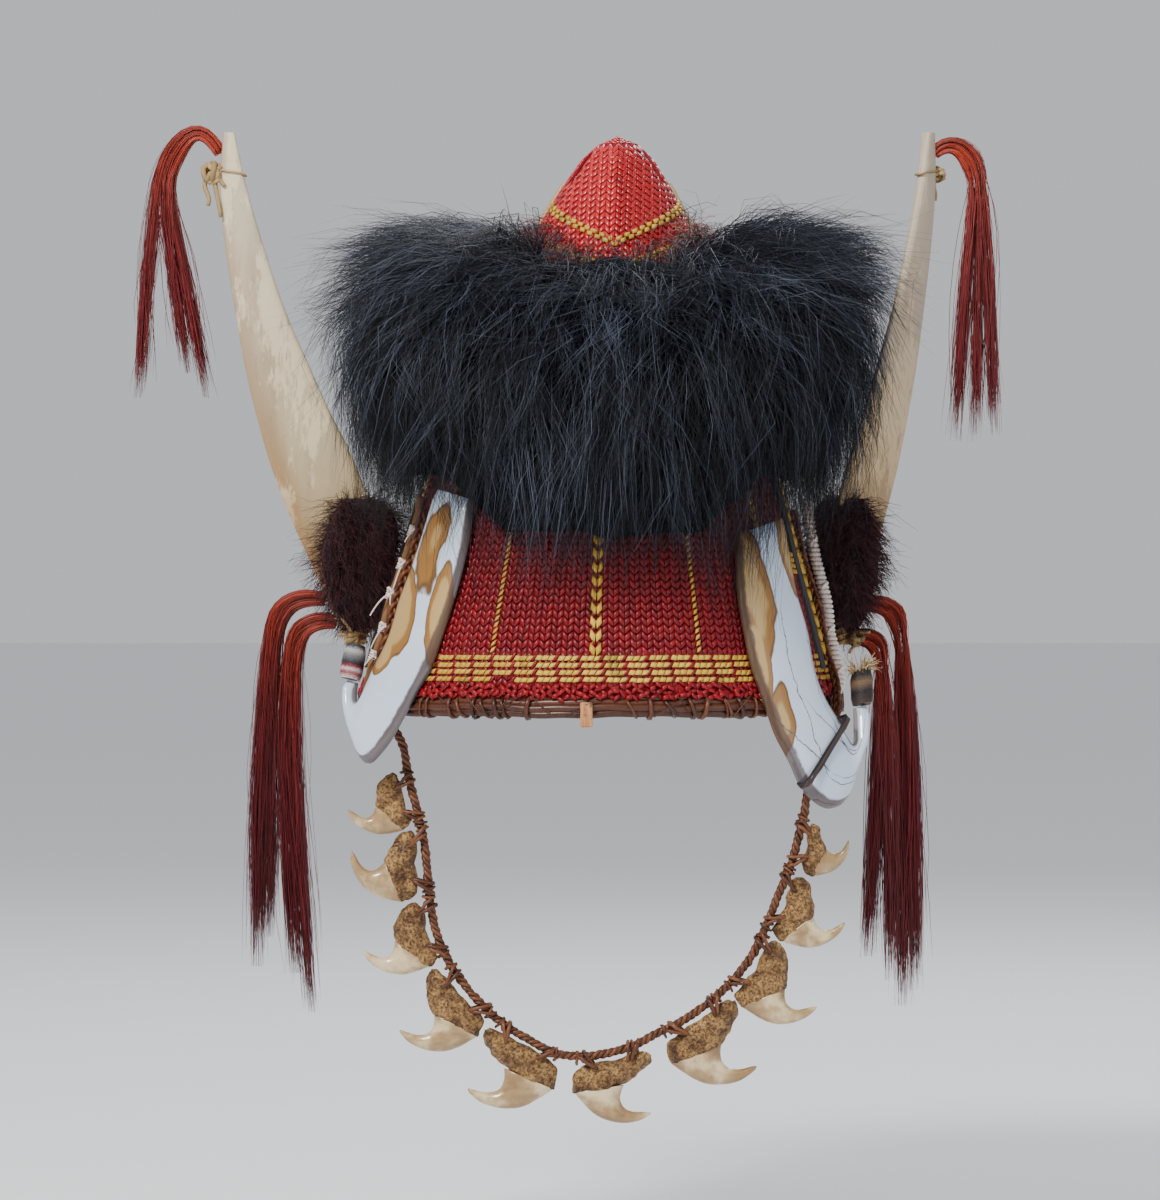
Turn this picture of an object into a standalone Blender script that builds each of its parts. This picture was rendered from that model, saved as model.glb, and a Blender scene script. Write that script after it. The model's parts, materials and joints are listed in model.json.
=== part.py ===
"""Rattan headdress: a tall hollow cap of red woven cane on a wrapped rim hoop, with a ruff of black fur,
two flat horn plates in fur sleeves, red hair tassels, two white shell plates and a chin strap of claws.

Metres, +Z up, the front faces -Y. The origin is the centre of the rim opening, level with the underside
of the hoop, where the headdress sits on a head. Angles round the cap run from the front, positive to +X.
"""

import math
from collections import namedtuple

import bmesh
import bpy
from mathutils import Vector

# Clearance between pieces that touch
GAP = 0.0003

# Cap
RIM_HALF_WIDTH = 0.1063
RIM_HALF_DEPTH = 0.112
CAP_WALL = 0.0022
CAP_RISE = 0.2502
CROWN_LEAN = 0.0085
CAP_SEGMENTS = 40
CREASE_DEPTH = 0.09
CREASE_SPREAD = math.radians(27)
CREASE_START = 0.5
CREASE_FULL = 0.76
SLOT_WIDTH = 0.0025
SLOT_LENGTH = 0.013
SLOT_TOP_BELOW_APEX = 0.008
SLOT_ANGLE = math.radians(62)

# Rim hoop and its peg
HOOP_HEIGHT = 0.0084
HOOP_THICKNESS = 0.0072
HOOP_EDGE = 0.0022
PEG_WIDTH = 0.0052
PEG_THICKNESS = 0.003
PEG_HEIGHT = 0.0106
PEG_DROP = 0.0036
PEG_SIDESTEP = 0.0063
PEG_ROUNDING = 0.0006

# Strips and sticks on the cap
STAVE_WIDTH = 0.006
STAVE_THICKNESS = 0.0026
STAVE_FOOT = 0.0115
STAVE_LENGTH = 0.08
STAVE_ANGLE_LEFT = math.radians(-84)
STAVE_ANGLE_RIGHT = math.radians(70)
RIB_WIDTH = 0.005
RIB_THICKNESS = 0.002
RIB_TOP_BELOW_APEX = 0.021
RIB_LENGTH = 0.034
RIB_ANGLE = math.radians(90)
STICK_RADIUS = 0.0019
STICK_LENGTH = 0.087
STICK_ANGLE_LEFT = math.radians(-74)
STICK_ANGLE_RIGHT = math.radians(86)
STICK_LEAN_RIGHT = 0.0068
BRAID_RADIUS = 0.0017
BRAID_LENGTH = 0.081
BRAID_TAIL = 0.0115
BRAID_ANGLE_LEFT = math.radians(-68)

# The right braid's slant round the cap in degrees, by its height, and its lift over the hoop
BraidRow = namedtuple("BraidRow", "up angle lift")
BRAID_ROUTE_RIGHT = (
    BraidRow(-0.15, 69, 1.0),
    BraidRow(0.0, 72, 1.0),
    BraidRow(0.15, 77, 0.0),
    BraidRow(1.0, 82, 0.0),
)

# Fur ruff
RUFF_REACH = 0.145
RUFF_CREST_BELOW_APEX = 0.0379
RUFF_HANG = 0.147
RUFF_BAND_TOP = 0.022
RUFF_BAND_HEIGHT = 0.033
RUFF_OVER_PLATES = 0.0015
LOCK_LENGTH = 0.010
LOCK_TIP_LENGTH = 0.008

# Horns and their fur sleeves
HORN_HEIGHT = 0.2317
HORN_FOOT_HEIGHT = 0.0302
HORN_HALF_WIDTH = 0.0194
HORN_HALF_THICKNESS = 0.0022
HORN_SETBACK = 0.012
HORN_SPREAD_LEFT = 0.0585
HORN_SPREAD_RIGHT = 0.039
HORN_TWIST_RIGHT = math.radians(52)
SLEEVE_PAD = 0.0065
SLEEVE_PACKING = 0.0056
TWINE_KNOT_RADIUS = 0.0033

# Tassels
TASSEL_ROOT_WIDTH = 0.0054
TASSEL_WIDTH = 0.010
TASSEL_THICKNESS = 0.006

# Shell plates and what ties them
PLATE_LENGTH_LEFT = 0.124
PLATE_LENGTH_RIGHT = 0.130
PLATE_CROWN = 0.006
PLATE_ANGLE = math.radians(42)
PLATE_TILT = math.radians(15)
NOTCH_OUT_LEFT = 0.0475
NOTCH_OUT_RIGHT = 0.0476
NOTCH_RISE_LEFT = 0.0008
NOTCH_RISE_RIGHT = -0.0186
BINDING_RADIUS = 0.005
BINDING_LENGTH = 0.0155
BINDING_SIDES = 10
STRAP_WIDTH = 0.003
STRAP_THICKNESS = 0.0012

# Chin strap and claws
CHIN_CORD_RADIUS = 0.0018
CHIN_DROP = 0.1487
CHIN_ANCHOR_ANGLE = math.radians(60)
CHIN_CORD_POINTS = 56
CLAW_LENGTH = 0.043

CAP_FOOT = HOOP_HEIGHT + GAP
APEX = CAP_FOOT + CAP_RISE

# The cap's outline: heights as shares of its rise, radii as shares of the rim's
CapRow = namedtuple("CapRow", "rise radius")
CAP_ROWS = (
    CapRow(0.0, 1.0),
    CapRow(0.061, 0.962),
    CapRow(0.125, 0.922),
    CapRow(0.245, 0.837),
    CapRow(0.365, 0.757),
    CapRow(0.484, 0.663),
    CapRow(0.604, 0.555),
    CapRow(0.724, 0.437),
    CapRow(0.832, 0.325),
    CapRow(0.904, 0.230),
    CapRow(0.956, 0.151),
    CapRow(0.984, 0.085),
    CapRow(1.0, 0.0),
)

# The ruff round the cap: how far it stands out and hangs, as shares of its reach and hang, and how much
# of its hang it gives up to stop just above the shell plates
RuffSide = namedtuple("RuffSide", "angle reach hem over_plates")
RUFF_SIDES = (
    RuffSide(0, 0.93, 1.0, 0),
    RuffSide(25, 0.95, 0.985, 0),
    RuffSide(45, 1.0, 0.823, 1.0),
    RuffSide(65, 1.0, 0.782, 0.6),
    RuffSide(84, 0.80, 0.769, 0),
    RuffSide(88, 0.74, 0.755, 0),
    RuffSide(104, 0.74, 0.755, 0),
    RuffSide(110, 0.80, 0.769, 0),
    RuffSide(125, 1.0, 0.857, 0),
    RuffSide(150, 0.97, 0.959, 0),
    RuffSide(180, 0.95, 0.986, 0),
)

# The ruff's section: shares of the way out from the cap and of the way down from crest to hem
RuffRow = namedtuple("RuffRow", "out down")
RUFF_ROWS = (
    RuffRow(0.10, 0.10),
    RuffRow(0.35, 0.0),
    RuffRow(0.68, 0.05),
    RuffRow(0.90, 0.18),
    RuffRow(1.0, 0.33),
    RuffRow(0.85, 0.60),
    RuffRow(0.55, 0.83),
    RuffRow(0.28, 1.0),
    RuffRow(0.08, 0.95),
    RuffRow(0.04, 0.62),
)
LobeRow = namedtuple("LobeRow", "reach hang")
RUFF_LOBES = (LobeRow(0.035, 0.035), LobeRow(-0.035, -0.035))
HORN_NOTCH = (math.radians(78), math.radians(114))

# The ruff's locks: the rows that grow them, their two lengths and tapers, and their lie
LOCK_ROWS = (2, 3, 4, 5)
LockPart = namedtuple("LockPart", "length taper")
LOCK_PARTS = (LockPart(LOCK_LENGTH, 0.7), LockPart(LOCK_TIP_LENGTH, 0.25))
LOCK_OUT = 0.35
LOCK_DOWN = 0.75
LOCK_LIFT = 0.55

# A horn's outline: heights as shares of its height, outward set of its spread, widths of its half-width
HornRow = namedtuple("HornRow", "rise out half_width")
HORN_ROWS = (
    HornRow(0.0, 0.0, 0.15),
    HornRow(0.048, 0.031, 0.41),
    HornRow(0.145, 0.108, 0.70),
    HornRow(0.243, 0.200, 0.95),
    HornRow(0.340, 0.332, 1.0),
    HornRow(0.466, 0.523, 0.856),
    HornRow(0.559, 0.646, 0.732),
    HornRow(0.649, 0.754, 0.593),
    HornRow(0.767, 0.870, 0.464),
    HornRow(0.864, 0.947, 0.35),
    HornRow(0.927, 0.98, 0.26),
    HornRow(1.0, 1.0, 0.14),
)
HornCorner = namedtuple("HornCorner", "across through")
HORN_SECTION = (
    HornCorner(1.0, 0.35),
    HornCorner(0.75, 1.0),
    HornCorner(-0.75, 1.0),
    HornCorner(-1.0, 0.35),
    HornCorner(-1.0, -0.35),
    HornCorner(-0.75, -1.0),
    HornCorner(0.75, -1.0),
    HornCorner(1.0, -0.35),
)

# The fur sleeve: its thickness, how far it covers the horn's width, and how far it reaches to the cap
SleeveRow = namedtuple("SleeveRow", "rise pad cover packing")
SLEEVE_ROWS = (
    SleeveRow(0.03, 0.35, 0.80, 1.0),
    SleeveRow(0.048, 0.55, 0.80, 1.0),
    SleeveRow(0.09, 0.85, 0.80, 1.25),
    SleeveRow(0.145, 1.0, 0.80, 1.6),
    SleeveRow(0.20, 1.0, 0.40, 1.9),
    SleeveRow(0.243, 0.88, 0.0, 2.0),
    SleeveRow(0.285, 0.35, -0.35, 1.2),
)

# Where the knots and tassels leave a horn, as shares of its height
TIP_KNOT_RISE = 0.922
TIP_TASSEL_RISE = 0.96
BASE_KNOT_RISE = 0.012
KNOT_SEAT_ACROSS = 0.45

# A tassel's trunk: how far out and down it runs, as shares of its arc, and up, as a share of its lift
TrunkRow = namedtuple("TrunkRow", "out fall up width")
TRUNK_ROWS = (
    TrunkRow(0.0, 0.0, 0.0, 0.0),
    TrunkRow(0.10, 0.0, 0.55, 0.3),
    TrunkRow(0.27, 0.01, 1.0, 0.6),
    TrunkRow(0.48, 0.04, 0.92, 0.85),
    TrunkRow(0.66, 0.14, 0.45, 1.0),
    TrunkRow(0.80, 0.36, 0.1, 1.0),
)

# A tassel's locks: how far out each hangs half-way and at its end, and how far down, with the size of its
# section on the way down
LockRow = namedtuple("LockRow", "mid_out end_out drop")
LockStation = namedtuple("LockStation", "down size")
LOCK_STATIONS = (LockStation(0.16, 0.8), LockStation(0.45, 0.85), LockStation(0.75, 0.6), LockStation(1.0, 0.15))
Tassel = namedtuple("Tassel", "name side rise arc lift length drift locks")
TASSELS = (
    Tassel(
        "tip_tassel_left", -1, TIP_TASSEL_RISE, 0.032, 0.011, 0.108, -0.004,
        (LockRow(1.03, 1.13, 1.0), LockRow(0.72, 0.45, 0.9), LockRow(0.52, 0.17, 1.0)),
    ),
    Tassel(
        "tip_tassel_right", 1, TIP_TASSEL_RISE, 0.025, 0.005, 0.127, -0.004,
        (LockRow(1.0, 1.08, 0.98), LockRow(0.8, 0.75, 1.0), LockRow(0.55, 0.38, 1.0)),
    ),
    Tassel(
        "side_tassel_left_upper", -1, 0.087, 0.030, 0.0015, 0.162, 0.006,
        (LockRow(1.0, 1.07, 1.0), LockRow(0.83, 0.87, 0.92)),
    ),
    Tassel(
        "side_tassel_left_lower", -1, 0.042, 0.025, 0.0015, 0.171, -0.006,
        (LockRow(0.97, 0.75, 0.9), LockRow(0.76, 0.45, 1.0)),
    ),
    Tassel(
        "side_tassel_right_upper", 1, 0.077, 0.023, 0.001, 0.178, 0.006,
        (LockRow(1.06, 1.1, 0.96), LockRow(0.85, 0.86, 1.0)),
    ),
    Tassel(
        "side_tassel_right_lower", 1, 0.014, 0.0182, 0.0005, 0.151, -0.006,
        (LockRow(0.97, 1.0, 1.0), LockRow(0.71, 0.42, 0.93)),
    ),
)

# The shell plates' outlines from the top of the long arm round the hook to the short arm, from the notch
# between the arms, outward and up the plate, as shares of the plate's length
PlateRow = namedtuple("PlateRow", "near_out near_up far_out far_up")
PLATE_ROWS_LEFT = (
    PlateRow(-0.198, 0.766, -0.382, 0.723),
    PlateRow(-0.173, 0.610, -0.396, 0.585),
    PlateRow(-0.151, 0.486, -0.391, 0.465),
    PlateRow(-0.121, 0.370, -0.380, 0.370),
    PlateRow(-0.096, 0.215, -0.353, 0.222),
    PlateRow(-0.048, 0.098, -0.327, 0.113),
    PlateRow(-0.020, 0.015, -0.281, 0.026),
    PlateRow(-0.010, -0.004, -0.235, -0.077),
    PlateRow(-0.006, -0.009, -0.185, -0.167),
    PlateRow(-0.001, -0.011, -0.106, -0.232),
    PlateRow(0.003, -0.010, -0.007, -0.131),
    PlateRow(0.007, -0.005, 0.049, -0.032),
    PlateRow(0.015, 0.022, 0.062, 0.026),
    PlateRow(0.019, 0.058, 0.062, 0.065),
)
PLATE_ROWS_RIGHT = (
    PlateRow(-0.132, 0.777, -0.368, 0.715),
    PlateRow(-0.138, 0.620, -0.397, 0.582),
    PlateRow(-0.135, 0.502, -0.412, 0.469),
    PlateRow(-0.120, 0.382, -0.412, 0.354),
    PlateRow(-0.121, 0.254, -0.405, 0.249),
    PlateRow(-0.100, 0.159, -0.380, 0.142),
    PlateRow(-0.058, 0.080, -0.357, 0.031),
    PlateRow(-0.037, 0.032, -0.315, -0.062),
    PlateRow(-0.020, 0.002, -0.285, -0.142),
    PlateRow(-0.015, -0.005, -0.235, -0.198),
    PlateRow(-0.010, -0.009, -0.174, -0.225),
    PlateRow(-0.005, -0.010, -0.102, -0.206),
    PlateRow(0.000, -0.009, -0.047, -0.142),
    PlateRow(0.005, -0.005, 0.012, -0.062),
    PlateRow(0.010, 0.006, 0.058, 0.000),
    PlateRow(0.024, 0.062, 0.082, 0.064),
    PlateRow(0.038, 0.115, 0.090, 0.123),
)
PlateCorner = namedtuple("PlateCorner", "across through")
PLATE_SECTION = (
    PlateCorner(0.0, 0.0),
    PlateCorner(1.0, 0.0),
    PlateCorner(1.0, 0.35),
    PlateCorner(0.78, 0.82),
    PlateCorner(0.5, 1.0),
    PlateCorner(0.22, 0.82),
    PlateCorner(0.0, 0.35),
)
Plate = namedtuple("Plate", "side length notch_out notch_rise rows binding_lean")
PLATES = {
    "left": Plate(-1, PLATE_LENGTH_LEFT, NOTCH_OUT_LEFT, NOTCH_RISE_LEFT, PLATE_ROWS_LEFT, 0.0),
    "right": Plate(1, PLATE_LENGTH_RIGHT, NOTCH_OUT_RIGHT, NOTCH_RISE_RIGHT, PLATE_ROWS_RIGHT, 0.2),
}
BarrelRow = namedtuple("BarrelRow", "along radius")
BINDING_ROWS = (BarrelRow(0.0, 0.8), BarrelRow(0.2, 1.0), BarrelRow(0.75, 1.0), BarrelRow(1.0, 0.75))
StrapEnd = namedtuple("StrapEnd", "out up")
STRAP_ENDS = (StrapEnd(-0.285, -0.142), StrapEnd(-0.040, 0.075))

# The chin strap's route, as shares of its half-span and of its drop
ChinPoint = namedtuple("ChinPoint", "out down")
CHIN_ROUTE = (
    ChinPoint(-1, 0),
    ChinPoint(-1, 0.025),
    ChinPoint(-0.953, 0.079),
    ChinPoint(-0.924, 0.176),
    ChinPoint(-0.88, 0.279),
    ChinPoint(-0.848, 0.367),
    ChinPoint(-0.828, 0.485),
    ChinPoint(-0.809, 0.588),
    ChinPoint(-0.765, 0.676),
    ChinPoint(-0.694, 0.756),
    ChinPoint(-0.598, 0.829),
    ChinPoint(-0.482, 0.897),
    ChinPoint(-0.353, 0.947),
    ChinPoint(-0.214, 0.991),
    ChinPoint(-0.099, 1),
    ChinPoint(0.021, 0.991),
    ChinPoint(0.151, 0.970),
    ChinPoint(0.285, 0.929),
    ChinPoint(0.41, 0.888),
    ChinPoint(0.535, 0.835),
    ChinPoint(0.65, 0.765),
    ChinPoint(0.75, 0.679),
    ChinPoint(0.8125, 0.588),
    ChinPoint(0.861, 0.514),
    ChinPoint(0.919, 0.426),
    ChinPoint(0.957, 0.338),
    ChinPoint(0.98, 0.285),
    ChinPoint(0.996, 0.191),
    ChinPoint(1, 0.087),
    ChinPoint(1, 0.025),
    ChinPoint(1, 0),
)

# A claw's outlines from the joint between sheath and bone, as shares of its length, and its thickness
ClawRow = namedtuple("ClawRow", "inner_x inner_z outer_x outer_z thickness")
SHEATH_ROWS = (
    ClawRow(-0.260, 0.122, 0.260, -0.097, 0.20),
    ClawRow(-0.247, 0.034, 0.181, -0.147, 0.19),
    ClawRow(-0.256, -0.050, 0.045, -0.240, 0.17),
    ClawRow(-0.317, -0.127, -0.136, -0.319, 0.145),
    ClawRow(-0.439, -0.138, -0.430, -0.287, 0.11),
    ClawRow(-0.552, -0.106, -0.563, -0.188, 0.07),
)
SHEATH_TIP = (-0.656, -0.081)
BONE_ROWS = (
    ClawRow(-0.260, 0.122, 0.260, -0.097, 0.20),
    ClawRow(-0.328, 0.215, 0.317, 0.034, 0.225),
    ClawRow(-0.396, 0.294, 0.312, 0.170, 0.22),
    ClawRow(-0.448, 0.373, 0.136, 0.271, 0.19),
    ClawRow(-0.480, 0.452, -0.068, 0.351, 0.18),
    ClawRow(-0.452, 0.520, -0.204, 0.464, 0.15),
)
BONE_END = (-0.396, 0.55)

# Where each claw hangs: share of the way along the strap, size, turn in its plane and how far its bone
# bends towards the strap, in degrees
ClawPlace = namedtuple("ClawPlace", "side along size turn bend")
CLAWS = (
    ClawPlace(-1, 0.113, 0.70, -20.5, 24),
    ClawPlace(-1, 0.191, 0.83, -45.5, 16),
    ClawPlace(-1, 0.267, 0.80, -13.5, 32),
    ClawPlace(-1, 0.348, 0.92, -4.3, 14),
    ClawPlace(-1, 0.437, 1.0, 0, 0),
    ClawPlace(1, 0.496, 0.937, 15.1, 0),
    ClawPlace(1, 0.600, 0.997, 1.6, 8),
    ClawPlace(1, 0.688, 0.883, -0.2, 30),
    ClawPlace(1, 0.764, 0.774, -16, 26),
    ClawPlace(1, 0.840, 0.60, -45, 8),
)
CLAW_BEND_SHARES = (0.0, 0.3, 0.55, 0.75, 0.9, 1.0)

# Materials: colour, roughness, metallic
Finish = namedtuple("Finish", "colour roughness metallic")
FINISHES = {
    "red_cane": Finish((0.42, 0.012, 0.018, 1), 0.45, 0.0),
    "dark_cane": Finish((0.055, 0.02, 0.012, 1), 0.5, 0.0),
    "cream_cane": Finish((0.62, 0.5, 0.32, 1), 0.5, 0.0),
    "peg_wood": Finish((0.3, 0.11, 0.04, 1), 0.6, 0.0),
    "black_fur": Finish((0.006, 0.008, 0.014, 1), 0.6, 0.0),
    "brown_fur": Finish((0.03, 0.012, 0.012, 1), 0.75, 0.0),
    "horn_ivory": Finish((0.66, 0.56, 0.38, 1), 0.35, 0.0),
    "twine": Finish((0.45, 0.33, 0.17, 1), 0.8, 0.0),
    "red_hair": Finish((0.3, 0.015, 0.015, 1), 0.5, 0.0),
    "white_shell": Finish((0.8, 0.82, 0.85, 1), 0.2, 0.0),
    "black_thread": Finish((0.02, 0.02, 0.03, 1), 0.7, 0.0),
    "chin_cane": Finish((0.14, 0.06, 0.035, 1), 0.6, 0.0),
    "claw_bone": Finish((0.42, 0.27, 0.13, 1), 0.6, 0.0),
    "claw_horn": Finish((0.62, 0.5, 0.32, 1), 0.25, 0.0),
}


def between(rows, at):
    """A table's row at a value of its first column, in a straight line between the two nearest."""
    if at <= rows[0][0]:
        return rows[0]
    for low, high in zip(rows, rows[1:]):
        if at <= high[0]:
            part = (at - low[0]) / (high[0] - low[0])
            return low._make(a + part * (b - a) for a, b in zip(low, high))
    return rows[-1]


def smooth_route(points, count):
    """Evenly spaced points on a smooth curve through the given ones."""
    ends = [points[0] * 2 - points[1], *points, points[-1] * 2 - points[-2]]
    fine = []
    steps = 12
    for before, a, b, after in zip(ends, ends[1:], ends[2:], ends[3:]):
        for step in range(steps):
            t = step / steps
            way = (b - before) * t + (before * 2 - a * 5 + b * 4 - after) * t**2
            fine.append(a + (way + (a * 3 - before - b * 3 + after) * t**3) / 2)
    fine.append(points[-1])
    lengths = [0.0]
    for a, b in zip(fine, fine[1:]):
        lengths.append(lengths[-1] + (b - a).length)
    route = []
    for index in range(count):
        goal = lengths[-1] * index / (count - 1)
        high = next(i for i, length in enumerate(lengths) if length >= goal - 1e-12)
        low = max(high - 1, 0)
        part = (goal - lengths[low]) / max(lengths[high] - lengths[low], 1e-12)
        route.append(fine[low].lerp(fine[high], part))
    return route


def material(name):
    """The finish of that name as a material, made on first use."""
    if name in bpy.data.materials:
        return bpy.data.materials[name]
    made = bpy.data.materials.new(name)
    made.use_nodes = True
    shader = made.node_tree.nodes["Principled BSDF"]
    finish = FINISHES[name]
    shader.inputs["Base Color"].default_value = finish.colour
    shader.inputs["Roughness"].default_value = finish.roughness
    shader.inputs["Metallic"].default_value = finish.metallic
    return made


def add_object(name, data):
    made = bpy.data.objects.new(name, data)
    bpy.context.scene.collection.objects.link(made)
    return made


def add_ring(bm, points):
    return [bm.verts.new(point) for point in points]


def join_rings(bm, lower, upper):
    """A band of faces between two rings of as many points, where a one-point ring closes it to a tip."""
    count = max(len(lower), len(upper))
    for index in range(count):
        after = (index + 1) % count
        corners = (
            lower[index % len(lower)],
            lower[after % len(lower)],
            upper[after % len(upper)],
            upper[index % len(upper)],
        )
        bm.faces.new(dict.fromkeys(corners))


def loft(bm, rings):
    """Closes a solid through rings of points, with a flat face on each end that isn't a tip."""
    made = [add_ring(bm, points) for points in rings]
    for lower, upper in zip(made, made[1:]):
        join_rings(bm, lower, upper)
    for end in (made[0], made[-1]):
        if len(end) > 2:
            bm.faces.new(end)
    return made


def mesh_of(name, bm, finish, sharp=40):
    """The finished mesh: faces out, its material, smooth but for its sharp edges."""
    bmesh.ops.recalc_face_normals(bm, faces=bm.faces)
    mesh = bpy.data.meshes.new(name)
    bm.to_mesh(mesh)
    bm.free()
    mesh.materials.append(material(finish))
    mesh.shade_smooth()
    mesh.set_sharp_from_angle(angle=math.radians(sharp))
    return mesh


def solid(name, bm, finish, sharp=40):
    return add_object(name, mesh_of(name, bm, finish, sharp))


def tube(name, points, radius, finish):
    """A round bar of that radius along the points."""
    curve = bpy.data.curves.new(name, "CURVE")
    curve.dimensions = "3D"
    curve.bevel_depth = radius
    curve.bevel_resolution = 2
    curve.use_fill_caps = True
    spline = curve.splines.new("POLY")
    spline.points.add(len(points) - 1)
    for place, point in zip(spline.points, points):
        place.co = (*point, 1)
    curve.materials.append(material(finish))
    return add_object(name, curve)


# The cap's surface


def around(angle):
    """The level way out at an angle from the front."""
    return Vector((math.sin(angle), -math.cos(angle), 0))


def cap_lean(height):
    """How far the cap's axis has moved to the right at a height."""
    rise = min(max((height - CAP_FOOT) / CAP_RISE, 0), 1)
    return CROWN_LEAN * rise**1.5


def crease(angle, height):
    """The share by which the folds at the crown's front and back stand out."""
    rise = (height - CAP_FOOT) / CAP_RISE
    strength = min(max((rise - CREASE_START) / (CREASE_FULL - CREASE_START), 0), 1)
    off_fold = abs(math.remainder(angle, math.pi))
    return 1 + CREASE_DEPTH * strength * max(0, 1 - off_fold / CREASE_SPREAD)


def cap_point(angle, height, out=0.0):
    """A point that far outside the cap's outer face."""
    share = between(CAP_ROWS, (height - CAP_FOOT) / CAP_RISE).radius * crease(angle, height)
    way = around(angle)
    x = cap_lean(height) + (RIM_HALF_WIDTH * share + out) * way.x
    return Vector((x, (RIM_HALF_DEPTH * share + out) * way.y, height))


def cap_heights(low, high):
    """The heights of the cap's rows between two heights, with those two."""
    rows = [CAP_FOOT + row.rise * CAP_RISE for row in CAP_ROWS]
    return [low, *(height for height in rows if low < height < high), high]


def turn(index, count):
    return math.tau * index / count


def wall_normals():
    """For each row of the cap, the level and upward parts of the way out of its wall."""
    normals = []
    for index, row in enumerate(CAP_ROWS):
        low = CAP_ROWS[max(index - 1, 0)]
        high = CAP_ROWS[min(index + 1, len(CAP_ROWS) - 1)]
        along = Vector(((high.radius - low.radius) * RIM_HALF_WIDTH, (high.rise - low.rise) * CAP_RISE))
        along.normalize()
        normals.append(Vector((along.y, -along.x)))
    normals[0] = Vector((1, 0))
    normals[-1] = Vector((0, 1))
    return normals


def build_cap():
    """The hollow cap, open at the rim, with a slot cut through each side of its crown."""
    bm = bmesh.new()
    outer = []
    inner = []
    for row, normal in zip(CAP_ROWS, wall_normals()):
        height = CAP_FOOT + row.rise * CAP_RISE
        angles = [turn(i, CAP_SEGMENTS) for i in range(CAP_SEGMENTS if row.radius else 1)]
        outer.append(add_ring(bm, [cap_point(angle, height) for angle in angles]))
        inward = -CAP_WALL * normal.x
        sunk = Vector((0, 0, -CAP_WALL * normal.y))
        inner.append(add_ring(bm, [cap_point(angle, height, inward) + sunk for angle in angles]))
    for rings in (outer, inner):
        for lower, upper in zip(rings, rings[1:]):
            join_rings(bm, lower, upper)
    join_rings(bm, outer[0], inner[0])
    cap = solid("cap_shell", bm, "red_cane", sharp=50)
    for side in (-1, 1):
        cap.modifiers.new("slot", "BOOLEAN").object = slot_cutter(side)
    return cap


def slot_cutter(side):
    """A blade through one side of the crown's wall."""
    height = APEX - SLOT_TOP_BELOW_APEX - SLOT_LENGTH / 2
    bm = bmesh.new()
    depth = 5 * CAP_WALL
    bmesh.ops.create_cube(bm, size=1)
    bmesh.ops.scale(bm, vec=(SLOT_WIDTH, depth, SLOT_LENGTH), verts=bm.verts)
    mesh = bpy.data.meshes.new("slot_cutter")
    bm.to_mesh(mesh)
    bm.free()
    cutter = add_object(f"slot_cutter_{'left' if side < 0 else 'right'}", mesh)
    cutter.location = cap_point(side * SLOT_ANGLE, height)
    cutter.rotation_euler.z = side * SLOT_ANGLE
    cutter.hide_render = True
    cutter.display_type = "WIRE"
    return cutter


# Rim hoop, peg, staves, ribs, sticks and braids


def hoop_point(angle, out, height):
    """A point at a distance from the middle line of the hoop's bar."""
    middle_in = CAP_WALL / 2
    way = around(angle)
    x = (RIM_HALF_WIDTH - middle_in + out) * way.x
    return Vector((x, (RIM_HALF_DEPTH - middle_in + out) * way.y, height))


def build_hoop():
    half = HOOP_THICKNESS / 2
    flat = half - HOOP_EDGE
    top = HOOP_HEIGHT
    section = (
        (half, HOOP_EDGE),
        (half, top - HOOP_EDGE),
        (flat, top),
        (-flat, top),
        (-half, top - HOOP_EDGE),
        (-half, HOOP_EDGE),
        (-flat, 0),
        (flat, 0),
    )
    bm = bmesh.new()
    rings = []
    for index in range(CAP_SEGMENTS):
        angle = turn(index, CAP_SEGMENTS)
        rings.append(add_ring(bm, [hoop_point(angle, out, height) for out, height in section]))
    for ring, after in zip(rings, rings[1:] + rings[:1]):
        join_rings(bm, ring, after)
    return solid("rim_hoop", bm, "dark_cane")


def build_peg():
    bm = bmesh.new()
    bmesh.ops.create_cube(bm, size=1)
    bmesh.ops.scale(bm, vec=(PEG_WIDTH, PEG_THICKNESS, PEG_HEIGHT), verts=bm.verts)
    bmesh.ops.bevel(bm, geom=bm.edges, offset=PEG_ROUNDING, segments=1, affect="EDGES")
    peg = solid("rim_peg", bm, "peg_wood", sharp=30)
    hoop_front = hoop_point(0, HOOP_THICKNESS / 2, 0).y
    peg.location = (-PEG_SIDESTEP, hoop_front - GAP - PEG_THICKNESS / 2, PEG_HEIGHT / 2 - PEG_DROP)
    return peg


def build_strip(name, angle, low, high, width, thickness, finish):
    """A half-round strip up the cap's outer face."""
    across = around(angle + math.pi / 2)
    section = ((-0.5, 0), (-0.42, 0.6), (0, 1), (0.42, 0.6), (0.5, 0))
    rings = []
    for height in cap_heights(low, high):
        ring = []
        for side, out in section:
            ring.append(cap_point(angle, height, GAP + out * thickness) + across * side * width)
        rings.append(ring)
    bm = bmesh.new()
    loft(bm, rings)
    return solid(name, bm, finish)


def build_staves():
    low = CAP_FOOT + STAVE_FOOT
    high = low + STAVE_LENGTH
    for name, angle in (("side_stave_left", STAVE_ANGLE_LEFT), ("side_stave_right", STAVE_ANGLE_RIGHT)):
        build_strip(name, angle, low, high, STAVE_WIDTH, STAVE_THICKNESS, "dark_cane")


def build_ribs():
    high = APEX - RIB_TOP_BELOW_APEX
    low = high - RIB_LENGTH
    for name, angle in (("crown_rib_left", -RIB_ANGLE), ("crown_rib_right", RIB_ANGLE)):
        build_strip(name, angle, low, high, RIB_WIDTH, RIB_THICKNESS, "cream_cane")


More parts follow.
